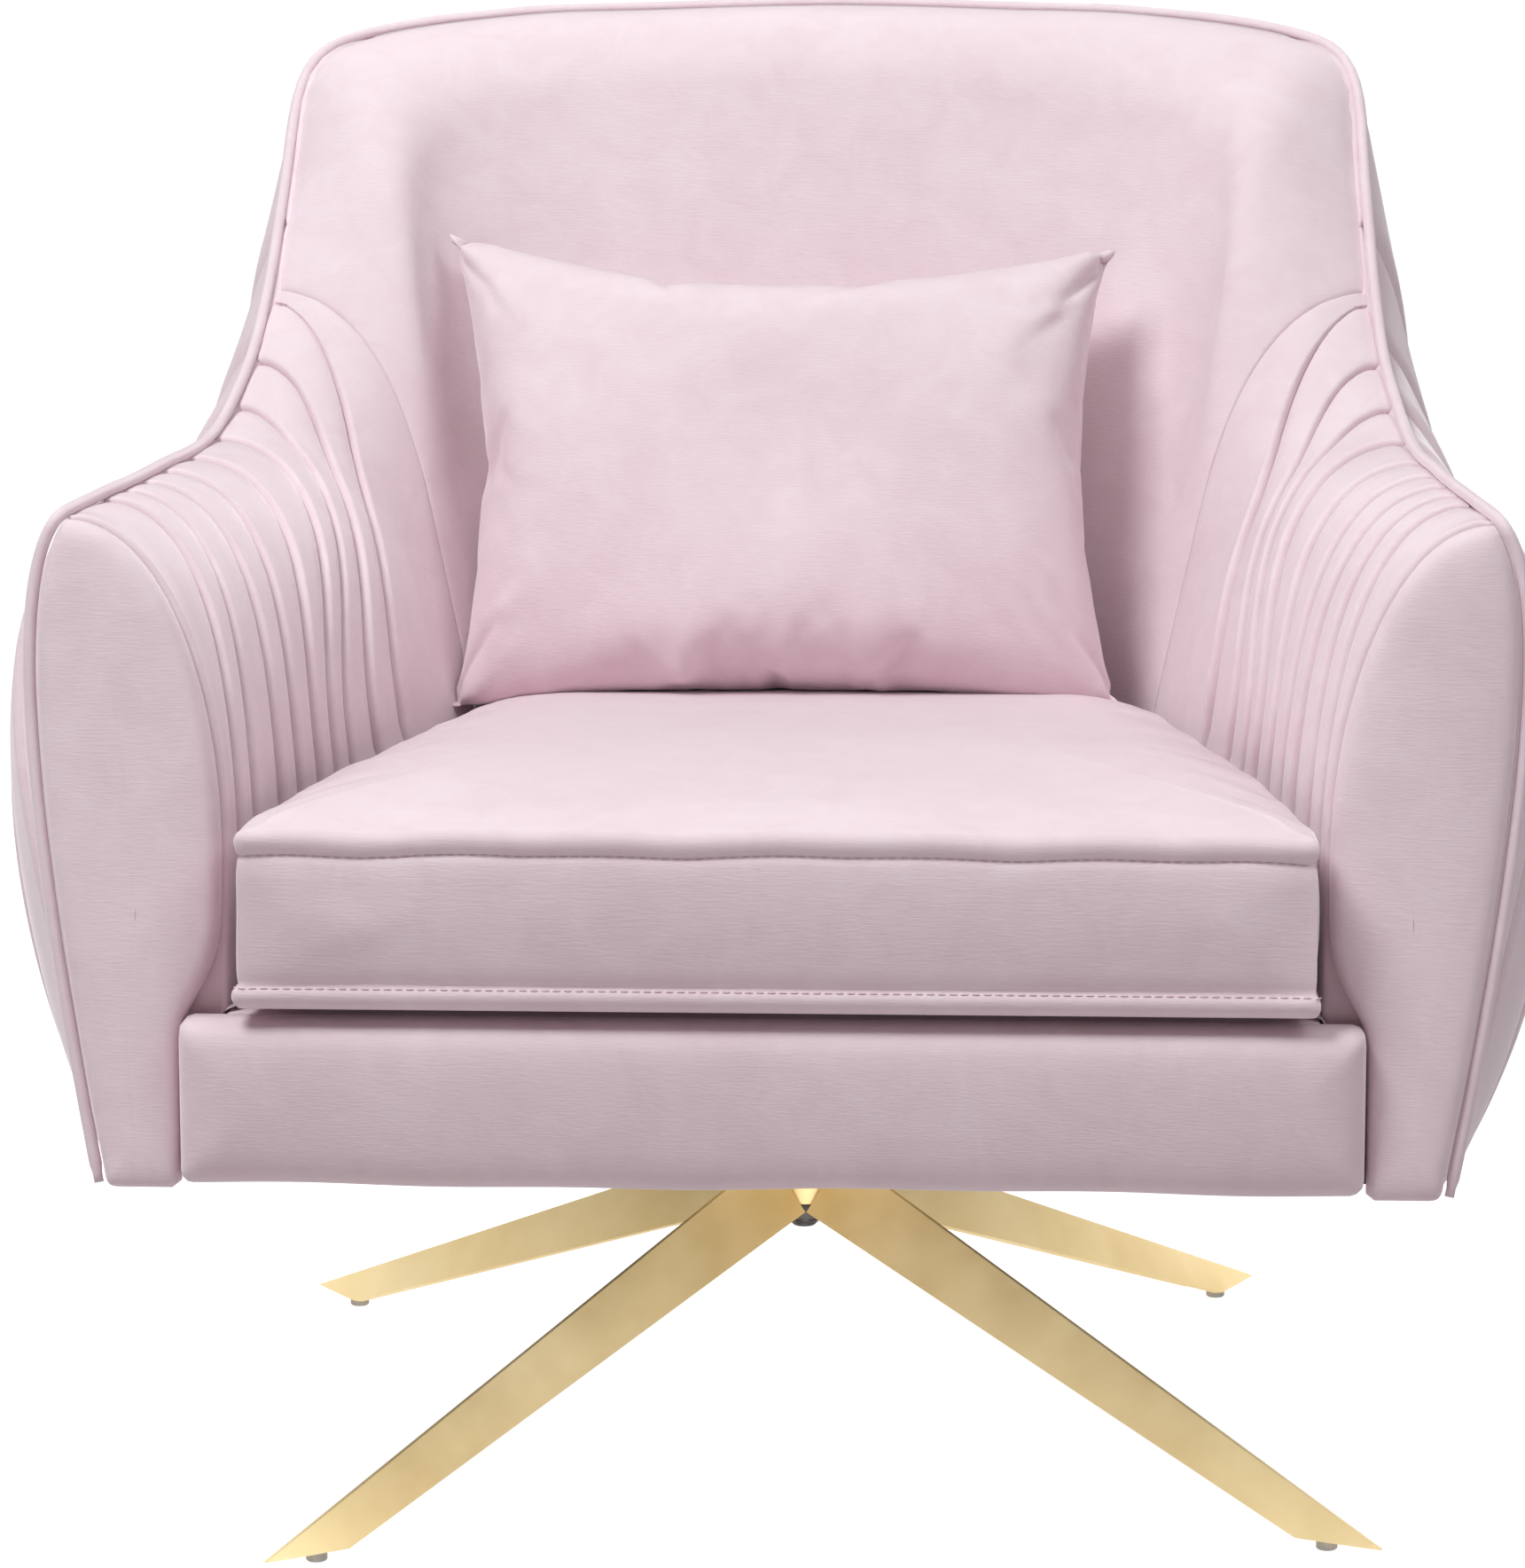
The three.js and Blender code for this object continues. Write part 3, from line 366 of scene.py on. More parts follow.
def panel_cover(name, columns, heights, t, nodes, mirror=False):
    """Outer cover with wadding, a closed body a cover's thickness deep."""
    count, rows = columns.shape
    bare = shell_points(columns, lambda s, j: s.outer(t[j]))
    deep = shell_points(columns, lambda s, j: s.outer(t[j], COVER - 0.6))
    outward = bare - deep
    outward /= np.linalg.norm(outward, axis=-1, keepdims=True)
    roll = -1.8 * np.exp(-(t * 400) / 2.5) - 3.5 * np.exp(-((1 - t) * 400) / 4)
    skin = bare + outward * (heights + roll[None, :])[..., None]
    keep = list(range(0, rows, 6)) + [rows - 1]
    rings = np.concatenate([skin, deep[:, sorted(set(keep), reverse=True)]], 1)
    points, faces = capped(rings)
    return make_piece(name, points, faces, "seat", nodes, sharp=75, mirror=mirror)


def side_cover(name, side, node):
    t = np.r_[0, 0.004, 0.01, 0.02, np.linspace(0.035, 0.97, 58), 0.982, 0.992, 1]
    rng = np.random.default_rng(40 + side)
    places = [np.full_like(t, FRONT)]
    for low, high in zip(OUTER_LOW, OUTER_HIGH):
        bend = high + (low - high) * ease(t / 0.75) + 2 * np.sin(t * 5 + rng.uniform(0, 6)) * t
        places.append(bend)
    places.append(np.full_like(t, OUTER_SEAM - 0.4))
    columns, heights = [], []
    for k, (a, b) in enumerate(zip(places, places[1:])):
        span = np.maximum(b - a, 2)
        tall = rng.uniform(0.85, 1.15) * (1 - 0.75 * ease((t - 0.3) / 0.6))
        for x, h in zip(FOLD_ACROSS, FOLD_HEIGHT):
            columns.append(a + np.minimum(x, span * 0.25 * x / FOLD_ACROSS[-1]))
            heights.append(h * tall if k else -2.6 + 2.6 * ease(x / 4) + 0 * t)
        for f in (0.22, 0.36, 0.5, 0.64, 0.78, 0.88, 0.95, 0.985):
            x = np.where(span < 10, span * (0.25 + 0.74 * f), 7.5 + (span - 7.5) * f)
            columns.append(a + x)
            start = 4.4 * tall if k else 0 * t
            heights.append(start * (1 - f) ** 0.8 + math.sin(math.pi * f) - 1.5 * max(0, (f - 0.9) / 0.085))
    columns.append(places[-1])
    heights.append(-2.2 + 0 * t)
    return panel_cover(name, np.array(columns), np.array(heights), t, [node], mirror=side < 0)


def outer_back():
    t = np.r_[0, 0.004, 0.01, 0.02, np.linspace(0.035, 0.97, 50), 0.982, 0.992, 1]
    edge = np.array([0, 1, 2.2, 4, 6.5, 10])
    half = np.r_[OUTER_SEAM + 0.4 + edge, np.linspace(OUTER_SEAM + 16, LAST, 36)]
    at = np.r_[half, 2 * LAST - half[-2::-1]]
    near = np.minimum(at - half[0], (2 * LAST - half[0]) - at)
    heights = np.repeat((-2.4 * np.exp(-near / 2.2))[:, None], len(t), 1)
    heights = heights + 1.5 * np.sin(math.pi * t)[None, :] * np.clip(near / 120, 0, 1)[:, None]
    columns = np.repeat(at[:, None], len(t), 1)
    return panel_cover("outer_back_cover", columns, heights, t, ["outer_back_panel"])


# ---- flat padded panels: arm fronts and the front border -----------------------------------------
def domed(outline, middle, profile, lift):
    """Rings from the outline in to its middle line. profile lists (share inwards, rise)."""
    outline = np.asarray(outline, float)
    middle = np.asarray(middle, float)
    return [lift(outline + (middle - outline) * share, rise) for share, rise in profile]


def front_outline():
    s = section(FRONT)
    low = np.array([[BORDER_HALF + 1.2 - PIVOT[0], z] for z in np.linspace(SKIRT + 3, 300, 14)])
    bend = bezier(
        np.array([[low[-1, 0], 300], [low[-1, 0], 328], [s.seat, 330], [s.seat, 372]]), np.linspace(0, 1, 12)[1:]
    )
    roll = bezier(s.top, np.linspace(0, 1, 26))
    outer = s.outer(np.linspace(0, 0.985, 44)[1:])
    corner = bezier(
        np.array([outer[-1], [s.side[3][0] - 0.5, SKIRT], [s.side[3][0] - 3, SKIRT], [s.side[3][0] - 9, SKIRT]]),
        np.linspace(0, 1, 6)[1:],
    )
    hem = np.array([[x, SKIRT] for x in np.linspace(s.side[3][0] - 12, BORDER_HALF + 5 - PIVOT[0], 6)])
    return np.vstack([low, bend, roll, outer, corner, hem])


def arm_front(name, side, node):
    s = section(FRONT)
    outline = front_outline()
    # the middle line runs up the leaf; points at its foot and top gather on its ends
    z = np.clip(outline[:, 1], SKIRT + 26, 530)
    inner_edge = np.where(z < 372, np.interp(z, [SKIRT, 300, 372], [196.8, 196.8, s.seat]), s.seat)
    rolled = bezier(s.top, np.linspace(0, 1, 60))
    inner_edge = np.where(z > s.knee[1], np.interp(z, rolled[:, 1], rolled[:, 0]), inner_edge)
    ts = np.linspace(0, 1, 200)
    side_line = s.outer(ts)[::-1]
    outer_edge = np.interp(z, side_line[:, 1], side_line[:, 0])
    middle = np.stack([(inner_edge + outer_edge) / 2, z], -1)
    profile = [(0.02, 1.0), (0, 3), (0, 7), (0.012, 10.5), (0.035, 13.6), (0.075, 16), (0.13, 17.6), (0.22, 18.8)]
    profile += [(0.34, 19.7), (0.5, 20.4), (0.7, 20.9), (0.88, 21.1), (1, 21.2)]
    rings = domed(outline, middle, profile, lambda p, rise: s.place(p, rise))
    back = [s.place(outline + (middle - outline) * f, 0.5) for f in (1, 0.5, 0.03)]
    grid = np.array(back + rings)
    n = grid.shape[1]
    points = grid.reshape(-1, 3)
    return make_piece(name, points, tube_faces(len(grid), n), "seat", [node], sharp=75, mirror=side < 0)


def front_border():
    corner = 7.0
    half, low, high = BORDER_HALF, BORDER_BOTTOM, BORDER_TOP
    xs = np.linspace(-half + corner, half - corner, 90)
    hem = [[x, low + 0.7 * math.sin(x / 61) + 0.5 * math.sin(x / 23)] for x in xs]
    right = [[half, z] for z in np.linspace(low + corner, high - corner - 2, 14)]
    arc_a = [[half - corner + corner * math.sin(a), low + corner - corner * math.cos(a)] for a in (0.5, 1.05)]
    arc_b = [[half - corner + corner * math.cos(a), high - corner + corner * math.sin(a)] for a in (0.4, 0.95)]
    top = [[x, high] for x in xs[::-1]]
    mirror_a = [[-x, z] for x, z in arc_a[::-1]]
    mirror_b = [[-x, z] for x, z in arc_b[::-1]]
    left = [[-half, z] for _, z in right[::-1]]
    outline = np.array(hem + arc_a + right + arc_b + top + mirror_b + left + mirror_a)
    centre = (low + high) / 2
    middle = np.stack([np.clip(outline[:, 0], -half + 42, half - 42), np.full(len(outline), centre)], -1)
    profile = [(0.02, 352.6), (0, 355), (0, 366), (0.02, 373), (0.07, 378.4), (0.16, 381.8), (0.3, 383.8)]
    profile += [(0.5, 385.0), (0.75, 385.6), (1, 385.8)]
    rings = domed(outline, middle, profile, lambda p, y: np.stack([p[:, 0], 0 * p[:, 0] - y, p[:, 1]], -1))
    halfway = outline + (middle - outline) * 0.5
    back = [np.stack([q[:, 0], 0 * q[:, 0] - 352.4, q[:, 1]], -1) for q in (middle, halfway)]
    grid = np.array(back + rings)
    points = grid.reshape(-1, 3)
    faces = tube_faces(len(grid), grid.shape[1])
    lip_half = section(FRONT + 25).seat + PIVOT[0] - 2
    start = len(points)
    lip = [(x, y, z) for x in (-lip_half, lip_half) for y in (-352.2, -331) for z in (301, 317.5)]
    points = np.vstack([points, lip])
    for quad in ((0, 1, 3, 2), (4, 6, 7, 5), (0, 4, 5, 1), (2, 3, 7, 6), (1, 5, 7, 3), (0, 2, 6, 4)):
        faces.append(tuple(start + q for q in quad))
    return make_piece("front_border_cover", points, faces, "seat", ["front_border"], sharp=60)


# ---- piping --------------------------------------------------------------------------------------
def welt_path():
    s = section(FRONT)
    clear = WELT + 0.6
    pairs = []
    forward = LEAF - clear - 4
    for t in np.linspace(0.99, 0.004, 70):
        pairs.append((s.place(s.outer(t), forward), s.place(s.outer(t, -1), forward)))
    for at in np.r_[FRONT + 4, np.linspace(FRONT + 10, LAST, 190)]:
        c = section(at)
        pairs.append((c.place(c.outer(0.0)), c.place(c.outer(0.0, -1))))
    seam = np.array([p for p, _ in pairs])
    out = np.array([q - p for p, q in pairs])
    ahead = np.gradient(seam, axis=0)
    ahead[-1] = (-1, 0, 0)
    ahead /= np.linalg.norm(ahead, axis=1, keepdims=True)
    out -= ahead * np.sum(out * ahead, 1, keepdims=True)
    out /= np.linalg.norm(out, axis=1, keepdims=True)
    path = seam + out * clear
    for _ in range(3):
        path[1:-1] = path[1:-1] * 0.5 + (path[2:] + path[:-2]) * 0.25
    return np.vstack([path, path[-2::-1] * np.array([-1, 1, 1])])


def tube(path, radius, sides):
    path = np.asarray(path, float)
    ahead = np.gradient(path, axis=0)
    ahead /= np.linalg.norm(ahead, axis=1, keepdims=True)
    side = np.array([0, 1.0, 0])
    rings = []
    for p, a, r in zip(path, ahead, np.broadcast_to(radius, len(path))):
        side = side - a * (side @ a)
        side /= np.linalg.norm(side)
        up = np.cross(a, side)
        turn = np.linspace(0, 2 * math.pi, sides, endpoint=False)
        rings.append(p + r * (np.cos(turn)[:, None] * side + np.sin(turn)[:, None] * up))
    return np.array(rings)


def welt():
    path = welt_path()
    run = np.r_[0, np.cumsum(np.linalg.norm(np.diff(path, axis=0), axis=1))]
    radius = WELT * (1 + 0.035 * np.sin(run / 17) * np.sin(run / 41 + 1))
    radius[:2] *= 0.75
    radius[-2:] *= 0.75
    points, faces = capped(tube(path, radius, 14))
    return make_piece("piping", points, faces, "seat", ["welt"])


# ---- cushions --------------------------------------------------------------------------------------
def seat_plan(y, clear, shift):
    half = []
    for at in np.r_[FRONT, np.linspace(FRONT + 6, LAST, 120)]:
        s = section(at)
        p = s.place((s.seat - clear, SKIRT))
        half.append((p[0], p[1]))
    half = [(half[0][0], y + k) for k in (0, 3, 7, 12, 18)] + half
    half = np.array(half)
    both = np.vstack([half, half[-2::-1] * np.array([-1, 1])])
    front = np.array([(x, y) for x in np.linspace(-half[0][0], half[0][0], 110)[1:-1]])
    return np.vstack([both, front]) + np.array([shift, 0])


def even(loop, count):
    """The closed loop with evenly spread points."""
    loop = np.vstack([loop, loop[:1]])
    run = np.r_[0, np.cumsum(np.linalg.norm(np.diff(loop, axis=0), axis=1))]
    want = np.linspace(0, run[-1], count, endpoint=False)
    return np.stack([np.interp(want, run, loop[:, k]) for k in range(loop.shape[1])], -1)


def inflate(name, points, faces, voxel, pressure, cap, frames=20):
    """Swells a copy of the shape as filled cloth and returns (rest points, moves), in metres."""
    mesh = bpy.data.meshes.new(name)
    mesh.from_pydata([tuple(p * MM) for p in points], [], faces)
    work = bmesh.new()
    work.from_mesh(mesh)
    bmesh.ops.remove_doubles(work, verts=work.verts, dist=1e-5)
    bmesh.ops.recalc_face_normals(work, faces=work.faces)
    work.to_mesh(mesh)
    work.free()
    pad = bpy.data.objects.new(name, mesh)
    bpy.context.scene.collection.objects.link(pad)
    if voxel:
        remesh = pad.modifiers.new("even cloth", "REMESH")
        remesh.mode = "VOXEL"
        remesh.voxel_size = voxel * MM
        ready = bpy.data.meshes.new_from_object(pad.evaluated_get(bpy.context.evaluated_depsgraph_get()))
        pad.modifiers.remove(remesh)
        pad.data = ready
    start = np.array([v.co[:] for v in pad.data.vertices])
    cloth = pad.modifiers.new("filled cloth", "CLOTH")
    cloth.settings.quality = 5
    cloth.settings.mass = 0.3
    cloth.settings.tension_stiffness = 15
    cloth.settings.compression_stiffness = 15
    cloth.settings.shear_stiffness = 5
    cloth.settings.bending_stiffness = 0.5
    cloth.settings.use_pressure = True
    cloth.settings.uniform_pressure_force = pressure
    cloth.settings.effector_weights.gravity = 0
    cloth.point_cache.frame_start = 1
    cloth.point_cache.frame_end = frames
    scene = bpy.context.scene
    for f in range(1, frames + 1):
        scene.frame_set(f)
    swollen = pad.evaluated_get(bpy.context.evaluated_depsgraph_get()).to_mesh()
    end = np.array([v.co[:] for v in swollen.vertices])
    scene.frame_set(1)
    bpy.data.objects.remove(pad)
    moves = end - start
    size = np.linalg.norm(moves, axis=1, keepdims=True)
    moves *= np.minimum(1, cap * MM / np.maximum(size, 1e-9))
    return start, moves


def carried(points, start, moves, near=6):
    """Moves of the fine shape's points, from the swollen copy's nearest points."""
    tree = kdtree.KDTree(len(start))
    for i, p in enumerate(start):
        tree.insert(p, i)
    tree.balance()
    out = np.zeros((len(points), 3))
    for k, p in enumerate(points * MM):
        found = tree.find_n(p, near)
        w = np.array([1 / (d * d + 2e-6) for _, _, d in found])
        out[k] = (moves[[i for _, i, _ in found]] * w[:, None]).sum(0) / w.sum()
    return out / MM


STITCH_LINES = {}


def seat_cushion():
    plan = even(seat_plan(CUSHION["front"], CUSHION["clear"], CUSHION["shift"]), 460)
    middle = np.stack([np.clip(plan[:, 0], -130, 130) * 0.9, np.full(len(plan), -140.0)], -1)
    ahead = np.roll(plan, -1, 0) - np.roll(plan, 1, 0)
    out = np.stack([ahead[:, 1], -ahead[:, 0]], -1)
    out /= np.linalg.norm(out, axis=1, keepdims=True)
    if np.mean(np.sum(out * (plan - plan.mean(0)), 1)) < 0:
        out = -out
    for _ in range(4):
        out = out * 0.5 + (np.roll(out, 1, 0) + np.roll(out, -1, 0)) * 0.25
    low, high, bottom, crown = CUSHION["low"], CUSHION["high"], CUSHION["bottom"], CUSHION["crown"]
    run = np.arange(len(plan)) * 4.2
    wave = 0.8 * np.sin(run / 37) * np.sin(run / 91 + 2) + 0.35 * np.sin(run / 13)
    # rows: (share inwards, push out in mm, height); the two stitched lines sit 10 mm from each edge
    rows = [(1, 0, bottom), (0.6, 0, bottom), (0.3, 0, bottom), (0.12, 0, bottom + 0.5), (0.05, 0, bottom + 1.6)]
    rows += [(0.022, 0, low - 8), (0, -4.4, low - 7), (0, -2.2, low - 5), (0, -1.2, low - 2.5), (0, -1.0, low)]
    rows += [(0, -1.5, low + 2.0), (0, -2.9, low + 3.6), (0, -1.7, low + 5.2), (0, -0.5, low + 8)]
    for t in np.linspace(0, 1, 15)[1:-1]:
        rows.append((0, 0.2 + 2.0 * math.sin(math.pi * t), low + 8 + (high - 17 - low - 8) * t))
    rows += [(0, -0.3, high - 17), (0, -1.1, high - 13.4), (0, -2.6, high - 11.6), (0, -1.2, high - 9.8)]
    rows += [(0, -0.5, high - 7), (0, -0.3, high - 4), (0, -1.2, high - 1.4), (0, -3.4, high + 0.9)]
    rows += [(0, -6.6, high + 1.9)]
    for f in (0.03, 0.05, 0.08, 0.12, 0.17, 0.23, 0.3, 0.38, 0.47, 0.57, 0.68, 0.8, 0.9, 1):
        rows.append((f, -6.6 * (1 - f), high + 1.6 + crown * math.sin(math.pi / 2 * f) ** 0.8))
    corner = np.zeros(len(plan))
    for x in (plan[:, 0].min(), plan[:, 0].max()):
        corner += np.exp(-((plan[:, 0] - x) ** 2 + (plan[:, 1] - plan[:, 1].min()) ** 2) / 26**2)
    rings = []
    for f, push, z in rows:
        flat = plan + (middle - plan) * f + out * push
        edge = math.exp(-(((z - high) / 7) ** 2)) + math.exp(-(((z - low) / 7) ** 2))
        waist = math.exp(-(((z - (low + high) / 2) / 30) ** 2))
        pull = corner * (1.6 * edge - 3.2 * waist)
        flat = flat + out * (pull * (1 if f < 0.02 else 0))[:, None]
        lift = wave if z > high - 20 and f < 0.3 else 0 * wave
        sag = -1.6 * corner * (1 if z > high - 18 and f < 0.06 else 0)
        rings.append(np.column_stack([flat, z + lift * (1 - f) + sag]))
    grid = np.array(rings)
    points = grid.reshape(-1, 3)
    faces = tube_faces(len(grid), grid.shape[1])
    small = [r for i, r in enumerate(rings) if i in (0, 2, 5, 9, 14, 20, 27, 33, 36, 40, 44, 48, len(rings) - 1)]
    small = np.array(small)[:, ::4]
    centre = small.reshape(-1, 3).mean(0)
    slim = centre + (small - centre) * np.array([0.988, 0.985, 0.97])
    start, moves = inflate("cushion filling", slim.reshape(-1, 3), tube_faces(len(slim), slim.shape[1]), 6, 4, 6)
    inside = centre + (points - centre) * np.array([0.988, 0.985, 0.97])
    moved = carried(inside, start, moves)
    height = points[:, 2]
    hold = np.where(height < low + 4, 0.15, 0.8)[:, None]
    moved[:, 2] = np.where(height < low + 4, 0, moved[:, 2])
    points = points + moved * hold * 0.8
    grid = points.reshape(grid.shape)
    names = [(r[1], round(r[2], 1)) for r in rows]
    upper = names.index((-2.6, round(high - 11.6, 1)))
    lower = names.index((-2.9, round(low + 3.6, 1)))
    STITCH_LINES["seat_cushion"] = [(grid[upper], out, True), (grid[lower], out, True)]
    return make_piece("box_cushion", points, faces, "seat_cushion", ["seat_cushion"], sharp=80)


def pillow():
    """A knife-edge pillow: two flat panels joined at the edge, filled until the edge puckers."""
    across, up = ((72, 54))
    wide, tall = 428.0, 322.0
    u = np.linspace(-1, 1, across + 1)
    v = np.linspace(-1, 1, up + 1)
    points, faces, index = [], [], {}
    for face in (-1, 1):
        for i, a in enumerate(u):
            for j, b in enumerate(v):
                rim = i in (0, across) or j in (0, up)
                key = (i, j, 0 if rim else face)
                if key in index:
                    continue
                index[key] = len(points)
                dome = (1 - a * a) * (1 - b * b)
                cut = 1 - 0.02 * (1 - b * b) if abs(a) > 0.5 else 1
                points.append((a * wide / 2 * cut, face * (0 if rim else 2 + 14 * dome), b * tall / 2))
    for face in (-1, 1):
        for i in range(across):
            for j in range(up):
                quad = []
                for p, q in ((i, j), (i + 1, j), (i + 1, j + 1), (i, j + 1)):
                    rim = p in (0, across) or q in (0, up)
                    quad.append(index[(p, q, 0 if rim else face)])
                faces.append(tuple(quad if face < 0 else quad[::-1]))
    points = np.array(points)
    start, moves = inflate("pillow filling", points, faces, 0, 2.8, 90, frames=26)
    points = (start + moves) / MM
    return points, faces, index, across, up


def lumbar_pillow():
    points, faces, index, across, up = pillow()
    lo, hi = points.min(0), points.max(0)
    size = hi - lo
    centre = (lo + hi) / 2
    points = points - centre
    points *= np.array([PILLOW["width"] / size[0], PILLOW["thick"] / size[1], PILLOW["height"] / size[2]])
    points[:, 2] += PILLOW["height"] / 2
    # a formula, not the simulation, lays the lower edge straight along the seat
    base = np.array([points[index[(i, 0, 0)]] for i in range(across + 1)])
    order = np.argsort(base[:, 0])
    gap = np.interp(points[:, 0], base[order, 0], base[order, 2])
    points[:, 2] -= gap * np.clip(1 - (points[:, 2] - gap) / 190, 0, 1) ** 1.3
    # and moves the side edges out a little
    for end in (0, across):
        side = np.array([points[index[(end, j, 0)]] for j in range(up + 1)])
        order = np.argsort(side[:, 2])
        half = PILLOW["width"] / 2
        inset = half - np.abs(np.interp(points[:, 2], side[order, 2], side[order, 0]))
        sign = 1 if end else -1
        share = np.clip(points[:, 0] * sign / half, 0, 1) ** 2
        points[:, 0] += sign * 0.22 * np.maximum(inset, 0) * share
    # the corners stand out as ears, and the middle of the top sinks between them
    a = np.clip(np.abs(points[:, 0]) / (PILLOW["width"] / 2), 0, 1)
    b = np.clip(points[:, 2] / (PILLOW["height"] / 2) - 1, -1, 1)
    ear = (a * np.abs(b)) ** 9
    points[:, 0] += np.sign(points[:, 0]) * 6 * ear
    points[:, 2] += 7 * ear * (b > 0) - 9 * (1 - a * a) * np.clip(b, 0, 1) ** 1.5
    points[:, 2] -= 4 * points[:, 0] / 200 * np.clip(b, 0, 1)
    # it rests on its lower edge, and leans back
    lean = math.radians(PILLOW["lean"])
    x, y, z = points.T
    turned = np.stack([x, y * math.cos(lean) + z * math.sin(lean), z * math.cos(lean) - y * math.sin(lean)], -1)
    turned += np.array(PILLOW["at"], float)
    turned[:, 0] *= 1.015 + 0.01 * np.clip(z / PILLOW["height"], 0, 1)
    turned[:, 0] -= 6 * np.clip(z / PILLOW["height"], 0, 1)
    turned[:, 2] -= 9 * np.clip(np.abs(x) / 200, 0, 1) ** 2 * np.clip(1 - z / 150, 0, 1)
    turned[:, 2] = np.maximum(turned[:, 2], 433.0 - 14 * np.clip((np.abs(x) - 90) / 110, 0, 1))
    piece = make_piece("lumbar_pillow", turned, faces, "pillow", ["pillow"])
    finer = piece.modifiers.new("smooth cloth", "SUBSURF")
    finer.levels = finer.render_levels = 1
    return piece


# ---- finishes -------------------------------------------------------------------------------------
def colour(hex_code):
    """sRGB hex to linear."""
    parts = [int(hex_code[i:i + 2], 16) / 255 for i in (1, 3, 5)]
    return tuple(c / 12.92 if c <= 0.04045 else ((c + 0.055) / 1.055) ** 2.4 for c in parts) + (1.0,)


def add(material, kind, settings=None, inputs=None, at=(0, 0)):
    """Adds a node with its settings; inputs are values or output sockets."""
    tree = material.node_tree if hasattr(material, "node_tree") else material
    node = tree.nodes.new(kind)
    node.location = at
    for key, value in (settings or {}).items():
        setattr(node, key, value)
    for key, value in (inputs or {}).items():
        if isinstance(value, bpy.types.NodeSocket):
            tree.links.new(value, node.inputs[key])
        else:
            node.inputs[key].default_value = value
    return node


def blank(name):
    material = bpy.data.materials.new(name)
    material.use_nodes = True
    material.node_tree.nodes.clear()
    return material


def ramp(material, source, stops):
    node = add(material, "ShaderNodeValToRGB", inputs={"Fac": source})
    node.color_ramp.elements[0].position = stops[0][0]
    node.color_ramp.elements[0].color = colour(stops[0][1])
    node.color_ramp.elements[1].position = stops[-1][0]
    node.color_ramp.elements[1].color = colour(stops[-1][1])
    for place, code in stops[1:-1]:
        node.color_ramp.elements.new(place).color = colour(code)
    return node.outputs["Color"]


def grey(material, source, low, high, start=0.0, end=1.0):
    span = {"Value": source, "From Min": start, "From Max": end, "To Min": low, "To Max": high}
    node = add(material, "ShaderNodeMapRange", inputs=span)
    return node.outputs["Result"]


def noise(material, at, scale, detail, roughness, distortion=0.0):
    settings = {"Vector": at, "Scale": scale, "Detail": detail, "Roughness": roughness, "Distortion": distortion}
    return add(material, "ShaderNodeTexNoise", inputs=settings)


def velvet(name, streak):
    """Cotton velvet, cut pile, brushed one way: soft sheen at the edges and nap marks where it was
    stroked; the pile shows as short streaks across the run of the cloth. streak is their stretch."""
    m = blank(name)
    at = add(m, "ShaderNodeTexCoord").outputs["Object"]
    wide = noise(m, at, 7.0, 3.0, 0.55, 0.4)
    nap = noise(m, at, 34.0, 4.0, 0.6, 0.8)
    tone = add(
        m, "ShaderNodeMath", {"operation": "MULTIPLY_ADD"}, {0: wide.outputs["Fac"], 1: 0.65, 2: nap.outputs["Fac"]}
    )
    cloth = ramp(m, grey(m, tone.outputs[0], 0, 1, 0.55, 1.1), [(0.0, "#DCC1CA"), (0.5, "#E0C7CF"), (1.0, "#E4CDD5")])
    # pile streaks: 1.4 mm across the nap and several millimetres along it, coarser than the real pile
    stretched = add(m, "ShaderNodeMapping", inputs={"Vector": at, "Scale": streak})
    pile = noise(m, stretched.outputs[0], 700.0, 2.0, 0.6)
    soft = add(m, "ShaderNodeBump", inputs={"Height": nap.outputs["Fac"], "Strength": 0.06, "Distance": 0.002})
    over = {"Height": pile.outputs["Fac"], "Normal": soft.outputs[0], "Strength": 0.3, "Distance": 0.0007}
    bump = add(m, "ShaderNodeBump", inputs=over)
    shader = add(
        m,
        "ShaderNodeBsdfPrincipled",
        inputs={
            "Base Color": cloth,
            "Roughness": grey(m, nap.outputs["Fac"], 0.78, 0.95, 0.3, 0.7),
            "Specular IOR Level": 0.25,
            "Sheen Weight": 0.7,
            "Sheen Roughness": 0.42,
            "Sheen Tint": colour("#FFF3F8"),
            "Normal": bump.outputs[0],
        },
    )
    add(m, "ShaderNodeOutputMaterial", inputs={"Surface": shader.outputs[0]})
    return m


def brushed_brass(name):
    """Steel sheet plated in brass: a soft satin metal with a fine even grain and slight clouding."""
    m = blank(name)
    at = add(m, "ShaderNodeTexCoord").outputs["Object"]
    cloud = noise(m, at, 9.0, 4.0, 0.6)
    grain = noise(m, at, 900.0, 3.0, 0.7)
    tone = ramp(m, cloud.outputs["Fac"], [(0.3, "#DFC792"), (0.5, "#E8D3A4"), (0.72, "#EFDEB4")])
    bump = add(m, "ShaderNodeBump", inputs={"Height": grain.outputs["Fac"], "Strength": 0.12, "Distance": 0.0002})
    shader = add(
        m,
        "ShaderNodeBsdfPrincipled",
        inputs={
            "Base Color": tone,
            "Metallic": 1.0,
            "Roughness": grey(m, cloud.outputs["Fac"], 0.6, 0.7, 0.3, 0.7),
            "Normal": bump.outputs[0],
        },
    )
    add(m, "ShaderNodeOutputMaterial", inputs={"Surface": shader.outputs[0]})
    return m


